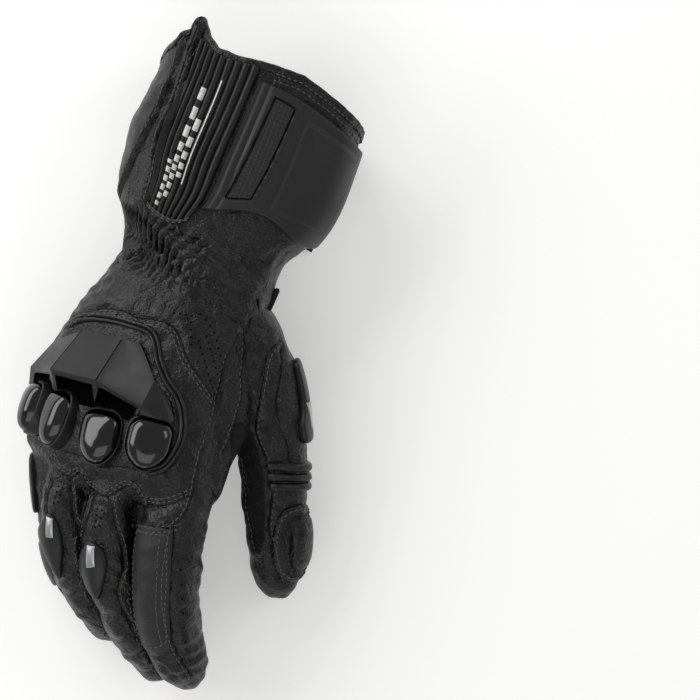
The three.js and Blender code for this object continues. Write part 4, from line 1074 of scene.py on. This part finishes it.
# Nickel plate, rubbed dull in places by the strap
steel, tree, shader, place = new_material("nickel_plated_wire", "#b9bbbb", 0.28, Metallic=1.0)
vary_roughness(tree, shader, noise(tree, place, 2, Detail=4.0), 0.2, 0.4)
LOOP_LONG, LOOP_WIDE, LOOP_WIRE, LOOP_RISE = 10.0, 3.6, 0.9, GAP * 2 + 2.8
loop_at, way, out, across = (part[0] for part in frames_along(TUBES["body"], STRAP_LINE[3:], 1, surface))
corners = np.radians(np.arange(0, 360, 7.5))
loop_x, loop_y = powered(np.sin(corners), 0.4) * LOOP_WIDE, powered(np.cos(corners), 0.4) * LOOP_LONG
along_glove = -across
wire_rings = []
for x, y in zip(loop_x, loop_y):
    middle = loop_at + way * x + along_glove * y + out * LOOP_RISE
    from_loop = (way * x / LOOP_WIDE + along_glove * y / LOOP_LONG)
    from_loop /= np.linalg.norm(from_loop)
    wire_rings.append([middle + (from_loop * math.cos(b) + out * math.sin(b)) * LOOP_WIRE
                       for b in np.radians(np.arange(0, 360, 30))])
wire = mesh_object("strap_loop", *skinned(wire_rings, ring=True))
piece(wire, "wire", "strap_loop", materials=[steel], creases=80)

# Palm patch and palm slider
# A second layer of cowhide on the palm, sewn in crossing lines of white thread; a hard slider on its heel.
PATCH = table("station from to", [
    [5.85, 206, 292], [6.2, 196, 314], [6.9, 192, 322], [7.7, 191, 318], [8.5, 191, 304], [9.2, 192, 280],
    [9.6, 196, 245],
])
PATCH_SIZE = (76.0, 78.0)
PATCH_THICK = 1.8
PALM_SLIDER = [
    (6.25, 214), (6.05, 240), (6.2, 262), (6.5, 276), (7, 270), (7.2, 246), (7.3, 222), (7.0, 208),
    (6.6, 206),
]


def patch_place(u, v):
    """The patch runs from wrist to fingers between the two angles of its table."""
    s = v * (len(PATCH["station"]) - 1)
    first, last = at(PATCH["from"], s), at(PATCH["to"], s)
    return at(PATCH["station"], s), first + (last - first) * u


def patch_rise(u, v):
    """Height of the patch, drawn down along its crossing rows of stitches, mm."""
    edge = from_edge(u, v, PATCH_SIZE)
    quilt = np.abs(np.sin(np.pi * (3 * u + 3 * v))) * np.abs(np.sin(np.pi * (3 * u - 3 * v)))
    return (GAP + PATCH_THICK) * (0.4 + 0.6 * crown(edge, 1.2)) - 0.35 * (1 - quilt**0.4) * ramp(edge, 2, 5)


patch = slab("palm_patch", TUBES["body"], patch_place, patch_rise,
             np.linspace(0, 1, 91), np.linspace(0, 1, 91), seat=seated)
piece(patch, "leather", "palm_patch", materials=[smooth_leather])

# Tough urethane plastic from a finely etched mould, rubbed satin in broad patches
shell_plastic, tree, shader, place = new_material(
    "satin_moulded_tpu", "#1c1c1b", 0.4, Specular_IOR_Level=0.42)
add_relief(tree, shader, noise(tree, place, 0.6, Detail=2.0), 0.22, 0.06)
vary_roughness(tree, shader, noise(tree, place, 18, Detail=5.0, Distortion=0.4), 0.34, 0.5, 0.35, 0.65)
heel_slider = pad("palm_slider", TUBES["body"], rounded_outline(PALM_SLIDER, 72), (6.7, 238),
                  cushion(3.2, 4.7, 0.16, 0.3), seat=seated)
piece(heel_slider, "shell_plastic", "palm_slider", materials=[shell_plastic])

# Knuckle armour
# One hard moulding with three flat facets rises to the knuckles, with an air scoop under the front of each.
# In front of it four glossy domes stand in matt rims, one over each knuckle.
SHELL = table("station angle rise", [
    [8.22, 160, 5], [7.66, 143, 2.6], [7.2, 119, 3], [7.03, 93, 3], [6.92, 86, 2.4], [7.14, 78, 2.2],
    [7.45, 69, 2.4], [7.68, 56, 2.6], [8.03, 49, 2.8], [8.22, 53, 3.6], [8.05, 71, 8.5], [7.94, 91.5, 12.2],
    [8.1, 115, 12], [8.5, 157, 2.6], [8.5, 113, 4], [8.45, 90, 4], [8.4, 68, 3.6],
])
SHELL_FACETS = [
    (0, 1, 2, 12), (12, 2, 3, 11), (11, 3, 4, 5, 6, 10), (10, 6, 7, 8, 9), (0, 12, 14, 13), (12, 11, 15, 14),
    (11, 10, 16, 15), (10, 9, 16),
]
SHELL_FOOT = [0, 1, 2, 3, 4, 5, 6, 7, 8, 9, 16, 15, 14, 13]
SCOOPS = [  # corners of the shell at both ends, from and to as shares between them, thickness of the roof
    (0, 12, 0.13, 0.9, 1.7), (12, 11, 0.09, 0.91, 1.3), (11, 10, 0.09, 0.93, 1.3),
]
CUPS = {  # station, angle, half width, half length forward
    "little": (8.82, 137, 8.6, 12.4), "ring": (8.86, 113, 9.8, 13.6), "middle": (8.93, 88, 11.2, 13.2),
    "index": (8.71, 60.5, 12.0, 12.6),
}
CUP_SIDES = 64
RIM_RINGS = [(1, -4), (1, 1.0), (0.995, 1.5), (0.975, 1.9), (0.95, 2.0), (0.93, 1.8), (0.92, 1.4)]
DOME_RINGS = [
    (0.92, 1.5), (0.915, 2.4), (0.885, 3.6), (0.82, 5.0), (0.71, 6.3), (0.56, 7.3), (0.38, 7.9), (0.18, 8.15),
]


def cup_loops(spot, rings, sides, grow=0.0):
    """Loops of a cup over its knuckle, one for each ring of share of its outline and rise in mm."""
    t, a, half, forward_half = spot
    base, ahead, beyond = surface(TUBES["body"], [t, t + AHEAD, t], [a, a, a], [0, 0, 2])
    out = (beyond - base) / np.linalg.norm(beyond - base)
    forward = ahead - base
    forward -= out * (out @ forward)
    forward /= np.linalg.norm(forward)
    across = np.cross(forward, out)
    b = np.linspace(0, 2 * math.pi, sides, endpoint=False)
    bow = np.where(np.sin(b) < 0, 0.6, 0.86)  # squarer at the back, where the armour overhangs it
    x = powered(np.cos(b), bow) * (half + grow) * (1 - 0.05 * np.sin(b))
    y = powered(np.sin(b), bow + 0.02) * (forward_half + grow) * (1 + 0.13 * np.maximum(0, np.sin(b)) ** 6)
    return [base + np.outer(x * share, across) + np.outer(y * share, forward) + out * (rise + grow)
            for share, rise in rings]


shell_points = surface(TUBES["body"], SHELL["station"], SHELL["angle"], SHELL["rise"])
shell_floor = surface(TUBES["body"], SHELL["station"][SHELL_FOOT], SHELL["angle"][SHELL_FOOT], -1.6)
foot = [len(shell_points) + k for k in range(len(SHELL_FOOT))]
shell_faces = list(SHELL_FACETS)
for k, corner in enumerate(SHELL_FOOT):
    following = (k + 1) % len(SHELL_FOOT)
    shell_faces.append((corner, foot[k], foot[following], SHELL_FOOT[following]))
    shell_faces.append((foot[following], foot[k], foot[-1] + 1))
armour = mesh_object("knuckle_armour", [*shell_points, *shell_floor, shell_floor.mean(0)], shell_faces)


def outward(spot):
    """The direction away from the hand at a point above its back, and the point of the leather under it."""
    hit, _, _, _ = leather_tree.find_nearest(Vector(to_frame(spot)))
    away = np.asarray(spot, float) - to_tables(hit)
    return away / np.linalg.norm(away), to_tables(hit)


SCOOP_AHEAD, SCOOP_BACK, SCOOP_SILL, SCOOP_DROP = 18, 7, 1.6, 4.0


def scoop(left, right, first, last, lip):
    """The room of one air scoop, under the straight roof edge from left to right, open to the front."""
    loops = []
    for share in (first, last):
        edge = left + (right - left) * share
        out, foot_of = outward(edge)
        ahead = np.cross(right - left, out)
        ahead *= np.sign(ahead @ (shell_points[14] - shell_points[12])) / np.linalg.norm(ahead)
        roof, sill = edge - out * lip, foot_of + out * SCOOP_SILL
        loops.append([roof, roof + ahead * SCOOP_AHEAD, sill + ahead * SCOOP_AHEAD, sill - ahead * SCOOP_BACK,
                      edge - out * (lip + SCOOP_DROP) - ahead * SCOOP_BACK])
    room = mesh_object("scoop", *skinned(loops))
    # The cut walls take the second slot, the near-black painted shade inside the scoop
    room.data.polygons.foreach_set("material_index", [1] * len(room.data.polygons))
    for _ in range(2):
        room.data.materials.append(None)
    return room


def facet_groove(start, end):
    """A narrow V-groove along the line where two facets meet."""
    way = (end - start) / np.linalg.norm(end - start)
    side = np.cross(way, outward((start + end) / 2)[0])
    side /= np.linalg.norm(side)
    up = np.cross(side, way)
    section = [side * 0.55 + up * 0.6, side * -0.55 + up * 0.6, up * -0.75]
    return mesh_object("groove", *skinned([[spot + corner for corner in section]
                                           for spot in (start - way * 2, end + way * 2)]))


for _ in range(2):
    armour.data.materials.append(None)
for left, right, first, last, lip in SCOOPS:
    cut(armour, scoop(shell_points[left], shell_points[right], first, last, lip))
for spot in CUPS.values():
    cut(armour, mesh_object("cup_room", *skinned(cup_loops(spot, [(1, -4), (1, 2), (0.8, 8)], 32, GAP))))
for back, front in ((2, 12), (3, 11)):
    cut(armour, facet_groove(shell_points[back], shell_points[front]))
edges = armour.modifiers.new("broken edges", "BEVEL")
edges.width, edges.segments, edges.limit_method, edges.angle_limit = 0.4 * MM, 2, "ANGLE", math.radians(18)
edges.harden_normals = True
applied(armour)
# The scoops' cut walls are painted near black, with a faint cell relief: painted shade for the dark inside the
# scoops
scoop_shade_black, tree, shader, place = new_material("painted_scoop_shade", "#020202", 0.95, Specular_IOR_Level=0.05)
scoop_relief_cells = add_node(tree, "ShaderNodeTexVoronoi", {"Scale": 1000 / 0.8}, {"Vector": place})
add_relief(tree, shader, scoop_relief_cells.outputs["Distance"], 0.8, 0.3)
piece(armour, "shell_plastic", "knuckle_shell", materials=[shell_plastic, scoop_shade_black], creases=30)

# Polished domes with a haze wiped over them, in rims with the grain of their mould
cup_gloss, tree, shader, place = new_material("polished_black_abs", "#020202", 0.12, Specular_IOR_Level=0.85)
vary_roughness(tree, shader, noise(tree, place, 9, Detail=5.0, Roughness=0.7), 0.08, 0.17, 0.35, 0.7)
rim_plastic, tree, shader, place = new_material("matt_moulded_rim", "#1b1b1a", 0.42)
add_relief(tree, shader, noise(tree, place, 0.5, Detail=2.0), 0.3, 0.06)
for name, spot in CUPS.items():
    dome = mesh_object(f"knuckle_cup_{name}", *skinned(cup_loops(spot, RIM_RINGS + DOME_RINGS, CUP_SIDES)))
    piece(dome, "cup_gloss", f"knuckle_cup_{name}", materials=[rim_plastic, cup_gloss], creases=50)
    finish_of_face = np.ones(len(dome.data.polygons), int)
    finish_of_face[: (len(RIM_RINGS) - 1) * CUP_SIDES] = 0
    finish_of_face[-2 * CUP_SIDES : -CUP_SIDES] = 0
    dome.data.polygons.foreach_set("material_index", finish_of_face)

# Double piping round the armour
# Two cords covered in one strip of smooth leather, sewn down between the padded back and the armour.
PIPING = [
    (7.26, 142), (7.0, 127), (6.8, 109), (6.69, 95), (6.64, 86), (6.76, 79), (7.04, 71.5), (7.31, 62),
    (7.54, 50), (7.84, 43), (8.28, 38.8), (8.74, 40.5), (9.17, 47), (9.46, 58),
]
cord = [(-2.2, -0.6), (-2.15, 0.5), (-1.9, 1.3), (-1.4, 1.85), (-0.85, 1.85), (-0.38, 1.35)]
piping_section = mirrored(cord, (0, 0.7))
piping_leather = leather_finish("piping_leather", "#1e1e1e", 0.38, 0.9, 0.1, 0.15)
piping = ribbon("knuckle_surround", TUBES["body"], PIPING, 1.0, piping_section)
piece(piping, "leather", "knuckle_surround", materials=[piping_leather], creases=60)

# Finger pads
# Index: an embossed patch; middle and ring: teardrop pads with a bright tile; little: two hard sliders.
INDEX_CENTRE = (4.2, 130)
INDEX_PATCH = [
    (2.35, 172), (2.24, 165), (2.24, 125), (2.2, 96), (2.3, 89), (3.4, 86), (4.5, 87), (5.8, 92), (6.1, 105),
    (6.2, 135), (6.1, 162), (4.7, 178), (3.6, 178),
]
# Coated fabric, embossed with fine cells and broad ribs
embossed, tree, shader, place = new_material("embossed_coated_fabric", "#121212", 0.55, Sheen_Weight=0.05)
cells = add_node(tree, "ShaderNodeTexVoronoi", {"Scale": 1000 / 1.0, "Randomness": 0.25}, {"Vector": place})
broad_ribs = stripes(tree, place, 5.5, "Y", Distortion=0.6)
both = add_node(tree, "ShaderNodeMath", {1: 2.2}, {0: broad_ribs, 2: cells.outputs["Distance"]},
                operation="MULTIPLY_ADD")
add_relief(tree, shader, both.outputs[0], 0.7, 0.3)
index_patch = pad("index_patch", TUBES["index"], rounded_outline(INDEX_PATCH, 120), INDEX_CENTRE,
                  cushion(0.9, 1.4, 0.08, 0.15))
piece(index_patch, "embossed_fabric", "index_patch", materials=[embossed])

PADS = {  # outline of the pad and corners of its tile
    "middle": (
        [(2.54, 127), (2.85, 158), (3.12, 171), (3.6, 162), (4.05, 140), (3.95, 125), (3.55, 104), (3.12, 92),
         (2.72, 98)],
        [(2.62, 124), (2.64, 108), (3.1, 110), (3.12, 129)]),
    "ring": (
        [(2.42, 123), (2.66, 148), (2.95, 171), (3.4, 160), (4.05, 146), (4.5, 134), (3.9, 112), (3.24, 98),
         (2.68, 104)],
        [(2.5, 122), (2.56, 108), (3.04, 110), (3.02, 126)]),
}
# Silver foil under a clear coat that is brighter in some places than in others
silver, tree, shader, place = new_material("satin_silver_foil", "#c4c6c8", 0.32, Metallic=1.0)
vary_roughness(tree, shader, noise(tree, place, 1.5, Detail=4.0), 0.22, 0.42)
for name, (outline, tile) in PADS.items():
    drop = pad(f"{name}_finger_pad", TUBES[name], rounded_outline(outline, 80), (3.2, 128),
               cushion(1.3, 2.6, 0.3, 0.5))
    piece(drop, "shell_plastic", f"{name}_finger_pad", materials=[shell_plastic])
    foil = pad(f"{name}_pad_inlay", TUBES[name], outline_of(tile, 40), np.mean(tile, 0),
               [(1, 2.2), (1, 3.3), (0.94, 3.6), (0.5, 3.75), (0.1, 3.8)])
    piece(foil, "bright_inlay", f"{name}_pad_inlay", materials=[silver])


def oval_round(centre, half, count):
    """A squarish oval round a station and angle."""
    b = np.linspace(0, 2 * math.pi, count, endpoint=False)
    across, along = powered(np.cos(b), 0.7), powered(np.sin(b), 0.7)
    return np.stack([centre[0] + half[0] * across, centre[1] + half[1] * along], -1)


for name, centre, half in (("upper", (1.9, 184), (0.95, 26)), ("lower", (4.75, 160), (0.9, 34))):
    slider = pad(f"little_slider_{name}", TUBES["little"], oval_round(centre, half, 64), centre,
                 cushion(1.3, 2.4, 0.16, 0.4))
    piece(slider, "shell_plastic", f"little_slider_{name}", materials=[shell_plastic])

# Thumb
# A hard slider with a bright bar on the outer side, three stretch ribs over the joint, an oval leather pad.
THUMB_SLIDER = [(1.75, 22), (2.5, 27), (3.1, 40), (3.55, 34), (3.6, 8), (3.5, -22), (2.7, -26), (1.8, -16)]
thumb_slider = pad("thumb_slider", TUBES["thumb"], rounded_outline(THUMB_SLIDER, 90), (2.7, 6),
                   cushion(2.0, 3.2, 0.14, 0.2))
piece(thumb_slider, "shell_plastic", "thumb_slider", materials=[shell_plastic])
bar = ribbon("thumb_slider_inlay", TUBES["thumb"], [(2.55, 23), (2.85, 20), (3.2, 17)], 1.0,
             [(-1, 1.4), (-1, 4.0), (-0.7, 4.3), (0.7, 4.3), (1, 4.0), (1, 1.4)])
piece(bar, "bright_inlay", "thumb_slider_inlay", materials=[silver])
rib_section = mirrored([(-2, -0.6), (-2.05, 0.5), (-1.8, 1.3), (-1.2, 2.0), (-0.4, 2.35)])
RIB_START, RIB_PITCH = 4.2, 0.335
for i in range(3):
    station = RIB_START + RIB_PITCH * i
    line = [(station + 0.22, -35), (station + 0.22, 0), (station + 0.11, 45), (station, 95)]
    rib = ribbon(f"thumb_rib_{i + 1}", TUBES["thumb"], line, 1.0, rib_section)
    piece(rib, "leather", f"thumb_rib_{i + 1}", materials=[accordion_leather], creases=60)
THUMB_PAD_CENTRE = (7, 45)
oval = oval_round(THUMB_PAD_CENTRE, (1.3, 50), 96)
thumb_pad = pad("thumb_pad", TUBES["thumb"], oval, THUMB_PAD_CENTRE, [
    (1, -2.0), (1, 0.7), (0.985, 1.15), (0.95, 1.45), (0.9, 1.5), (0.82, 1.2, -4), (0.75, 0.7, -8),
    (0.7, 0.6, -10), (0.67, 1.2, -10), (0.64, 2.3, -10), (0.6, 3.0, -10), (0.5, 3.5, -10), (0.36, 3.8, -10),
    (0.18, 3.9, -10)])
piece(thumb_pad, "leather", "thumb_pad", materials=[grain_leather], creases=50)

# Stitching
# Bonded polyester thread in lockstitch: black on the back, white on the palm. The black thread's dark grey is
# lifted to mid grey as painted sheen.
STITCH_PITCH, STITCH_LENGTH, STITCH_WIDTH = 2.9, 2.2, 0.62
THREAD_RISE = 0.12


def repeat_tree(name, sizes, laid_out):
    """Geometry nodes that set one small shape on each of many points, with a size for each axis and a finish.

    `laid_out` takes the group and its inputs, and gives the points, their turns, the shape and its sizes.
    """
    group = bpy.data.node_groups.new(name, "GeometryNodeTree")
    face = group.interface
    face.new_socket("Geometry", in_out="OUTPUT", socket_type="NodeSocketGeometry")
    face.new_socket("Geometry", in_out="INPUT", socket_type="NodeSocketGeometry")
    for label in sizes:
        face.new_socket(label, in_out="INPUT", socket_type="NodeSocketFloat")
    face.new_socket("Finish", in_out="INPUT", socket_type="NodeSocketMaterial")
    given = add_node(group, "NodeGroupInput").outputs
    spots, turn, shape, axes = laid_out(group, given)
    lengths = {axis: given[label] for axis, label in zip("XYZ", axes)}
    size = add_node(group, "ShaderNodeCombineXYZ", {}, lengths)
    shaped = add_node(group, "GeometryNodeTransform", {}, {"Geometry": shape, "Scale": size.outputs[0]})
    placed = add_node(group, "GeometryNodeInstanceOnPoints", {},
                      {"Points": spots, "Instance": shaped.outputs[0], "Rotation": turn})
    real = add_node(group, "GeometryNodeRealizeInstances", {}, {"Geometry": placed.outputs[0]})
    done = add_node(group, "GeometryNodeSetMaterial", {},
                    {"Geometry": real.outputs[0], "Material": given["Finish"]})
    add_node(group, "NodeGroupOutput", {}, {"Geometry": done.outputs[0]})
    return group


def repeated(name, points, edges, group, values, ways=None):
    """An object of many small shapes, which the group sets on these points in mm or along their edges."""
    mesh = bpy.data.meshes.new(name)
    mesh.from_pydata(to_frame(points).tolist(), edges, [])
    if ways is not None:
        facing = mesh.attributes.new("out", "FLOAT_VECTOR", "POINT")
        facing.data.foreach_set("vector", np.array(ways, float).ravel())
    made = bpy.data.objects.new(name, mesh)
    scene.collection.objects.link(made)
    step = made.modifiers.new(group.name, "NODES")
    step.node_group = group
    for item in group.interface.items_tree:
        if item.in_out == "INPUT" and item.name in values:
            step[item.identifier] = values[item.name]
    return applied(made)


def stitches_along(group, given):
    """A rounded bead on each step of a line, turned along it."""
    line = add_node(group, "GeometryNodeMeshToCurve", {}, {"Mesh": given["Geometry"]})
    steps = add_node(group, "GeometryNodeResampleCurve", {},
                     {"Curve": line.outputs[0], "Length": given["Pitch"]}, mode="LENGTH")
    turn = add_node(group, "FunctionNodeAlignRotationToVector", {},
                    {"Vector": add_node(group, "GeometryNodeInputTangent").outputs[0]}, axis="X")
    bead = add_node(group, "GeometryNodeMeshUVSphere", {"Segments": 6, "Rings": 4, "Radius": 0.5})
    return steps.outputs[0], turn.outputs[0], bead.outputs["Mesh"], ("Length", "Width", "Width")


lockstitch = repeat_tree("lockstitch", ("Pitch", "Length", "Width"), stitches_along)


def thread_of(name, colour):
    """Bonded thread, with the relief of its twisted plies."""
    material, tree, shader, place = new_material(name, colour, 0.55, Sheen_Weight=0.2)
    add_relief(tree, shader, noise(tree, place, 0.5), 0.4, 0.08)
    return material


def sewn(name, lines, thread):
    """Rows of stitches along lines of more than three points, as one piece of thread."""
    points, edges = [], []
    for line in lines:
        if len(line) <= 3:
            continue
        start = len(points)
        points += line.tolist()
        edges += [(start + i, start + i + 1) for i in range(len(line) - 1)]
    sizes = {"Pitch": STITCH_PITCH * MM, "Length": STITCH_LENGTH * MM, "Width": STITCH_WIDTH * MM}
    values = {**sizes, "Finish": thread}
    return piece(repeated(name, points, edges, lockstitch, values), "webbing", creases=80)


all_tree = tree_of(hand, cuff, wrist, binding, panel, flap, patch, index_patch, piping, strap, thumb_pad)


def on_top(points, out, rise=THREAD_RISE):
    """The points of a row moved to the outermost surface above them."""
    moved = []
    for point, way in zip(points, out):
        start = Vector(to_frame(point + way * 5))
        hit, _, _, _ = all_tree.ray_cast(start, Vector(-way), 9 * MM)
        if hit:
            moved.append(to_tables(hit) + way * rise)
    return np.array(moved)


def row_beside(points, out, sideways):
    """A row of stitches this far to the side of a line of points with outward directions."""
    way = np.gradient(points, axis=0)
    side = np.cross(way, out)
    side /= np.maximum(np.linalg.norm(side, axis=1, keepdims=True), 1e-6)
    return on_top(points + side * sideways, out)


def row_on(tube, line, sideways=0.0):
    """A row beside a line of stations and angles."""
    place_at, _, out, _ = frames_along(TUBES[tube], line, 1.5, surface)
    return row_beside(place_at, out, sideways)


def along_edge(angles, down):
    """A line this many mm below the cuff's edge, over these angles."""
    return [(cuff_start(a, -down), a) for a in angles]


def drawn_in(outline, centre):
    """An outline at nine tenths of its size."""
    return (outline - centre) * 0.9 + centre


hem_shares = np.linspace(0.03, 0.97, 12)
ROWS_ON_CUFF = [
    [(t, np.interp(t, [0.7, 2.3, 3.85], PANEL["left"]) + 1.2) for t in (0.75, 1.5, 2.3, 3.1, 3.8)],
    *(np.stack(panel_place(hem_shares, v + 0 * hem_shares), -1) for v in (0.968, 0.99)),
    list(zip(GUSSET_LINE["station"][1:-1], GUSSET_LINE["angle"][1:-1] + 3.2)),
    *(along_edge(np.arange(-24, 92, 4), down) for down in (2.8, 6.0)),
    along_edge(np.arange(150, 330, 6), 2.8),
]
black_rows = [row_beside(points, normals, offset) for _, rows, points, normals in seams for offset in rows]
black_rows += [row_on("body", line) for line in ROWS_ON_CUFF]
black_rows += [
    row_on("body", PIPING, 3.4),
    row_on("thumb", drawn_in(np.concatenate([oval, oval[:1]]), THUMB_PAD_CENTRE)),
    row_on("index", drawn_in(rounded_outline(INDEX_PATCH, 60), INDEX_CENTRE)),
    row_on("index", [(2.4, 104), (3.4, 103), (4.5, 104), (5.8, 106)]),
]
# The black thread's colour is a mid grey: painted sheen on the stitches
sewn("black_stitching", black_rows, thread_of("dark_thread_painted_sheen", "#4e4e4a"))


def patch_row(shares):
    """Stations and angles of shares across and along the patch."""
    return np.stack(patch_place(*np.transpose(shares)), -1)


PATCH_BORDER = [(0.04, 0.04), (0.96, 0.04), (0.96, 0.96), (0.04, 0.96)]
PATCH_LINES = [  # from and to, as shares across and along the patch
    ((0.08, 0.3), (0.9, 0.9)), ((0.3, 0.08), (0.93, 0.6)), ((0.1, 0.62), (0.6, 0.93)),
    ((0.55, 0.1), (0.1, 0.5)), ((0.92, 0.12), (0.15, 0.9)), ((0.93, 0.5), (0.5, 0.92)),
]
white_rows = [row_on("body", patch_row(outline_of(PATCH_BORDER, 40)))]
for start, end in PATCH_LINES:
    shares = [tuple(np.array(start) + (np.array(end) - np.array(start)) * s) for s in np.linspace(0, 1, 7)]
    white_rows += [row_on("body", patch_row(shares), s) for s in (-1.1, 1.1)]
sewn("white_stitching", white_rows, thread_of("white_bonded_thread", "#d8d8d4"))

# Perforations
# Round punched holes about a millimetre across that air the leather, and larger ones in the plate's window.
# The centres of the rows are in mm of the tables, seen from above.
HOLE_ROWS = [  # first hole, last hole, how many
    ((2.2, 5.8), (9.8, -19.5), 9), ((6.0, 8.0), (12.0, -13.0), 8), ((9.8, 9.6), (13.6, -5.0), 5),
    ((-1.5, 14.5), (-1.2, 4.0), 4), ((3.0, 18.5), (7.6, 13.0), 3), ((-9.5, 19.0), (-1.0, 17.8), 4),
    ((-46.3, -74.4), (-47.3, -83.0), 4), ((-65.5, -63.8), (-67.7, -71.8), 4),
    ((-6.4, -103.0), (-4.4, -138.0), 6),
    ((-44.0, -75.0), (-45.0, -82.5), 3), ((-63.5, -64.5), (-65.5, -71.5), 3),
]
HOLE_SIZE, HOLE_SUNK = 1.05, 0.14
# The holes are not cut: the near-black finish on each plug is painted shade inside the hole, with the relief
# of cut fibres round it
punched, tree, shader, place = new_material("painted_hole_shade", "#020202", 0.95, Specular_IOR_Level=0.05)
add_relief(tree, shader, noise(tree, place, 0.4), 0.5, 0.1)


def plugs_on(group, given):
    """A short dark plug on each point, facing along attribute "out"."""
    out = add_node(group, "GeometryNodeInputNamedAttribute", {"Name": "out"}, data_type="FLOAT_VECTOR")
    turn = add_node(group, "FunctionNodeAlignRotationToVector", {}, {"Vector": out.outputs[0]}, axis="Z")
    plug = add_node(group, "GeometryNodeMeshCylinder", {"Vertices": 10, "Radius": 0.5, "Depth": 0.4})
    return given["Geometry"], turn.outputs[0], plug.outputs["Mesh"], ("Diameter",) * 3


perforation = repeat_tree("perforation", ("Diameter",), plugs_on)


def perforated(name, points, ways, diameter, slot):
    """Round holes of this diameter in mm at these points, as one piece."""
    made = repeated(name, points, [], perforation, {"Diameter": diameter * MM, "Finish": punched}, ways)
    return piece(made, slot, creases=40)


hole_points, hole_ways = [], []
for first, last, count in HOLE_ROWS:
    for share in np.linspace(0, 1, count):
        x, y = (np.array(first) + (np.array(last) - np.array(first)) * share - MIDDLE[:2]) * MM
        hit, way, _, _ = all_tree.ray_cast(Vector((x, y, 0.2)), Vector((0, 0, -1)))
        if hit:
            hole_points.append(to_tables(hit) - np.array(way) * HOLE_SUNK)
            hole_ways.append(way)
perforated("leather_perforations", hole_points, hole_ways, HOLE_SIZE, "leather")

VENT_WINDOW = np.array([[37, 15.5], [3, 19], [-22, 46.5], [25, 50.5]])  # across and down on the plate, mm
VENT_PITCH, VENT_SIZE, VENT_RIM, VENT_HEIGHT = 3.8, 2.3, 2.4, 1.35
VENT_START, VENT_ROWS, VENT_COLUMNS, ROW_SHARE = (-24, 15), 12, 20, 0.866
CUFF_MOUTH, CUFF_TURN = (33.1, 122.9), math.radians(21.5)
vent_points = []
for row in range(VENT_ROWS):
    for column in range(VENT_COLUMNS):
        spot = np.array([VENT_START[0] + VENT_PITCH * (column + 0.5 * (row % 2)),
                         VENT_START[1] + ROW_SHARE * VENT_PITCH * row])
        sides = np.roll(VENT_WINDOW, -1, 0) - VENT_WINDOW
        apart = spot - VENT_WINDOW
        depth = (sides[:, 0] * apart[:, 1] - sides[:, 1] * apart[:, 0]) / np.linalg.norm(sides, axis=1)
        if abs(np.sign(depth).sum()) == 4 and abs(depth).min() > VENT_RIM:
            x = CUFF_MOUTH[0] + spot[0] * math.cos(CUFF_TURN) - spot[1] * math.sin(CUFF_TURN)
            y = CUFF_MOUTH[1] - spot[0] * math.sin(CUFF_TURN) - spot[1] * math.cos(CUFF_TURN)
            vent_points.append([x, y, VENT_HEIGHT])
perforated("plate_vents", vent_points, [(0, 0, -1)] * len(vent_points), VENT_SIZE, "shell_plastic")
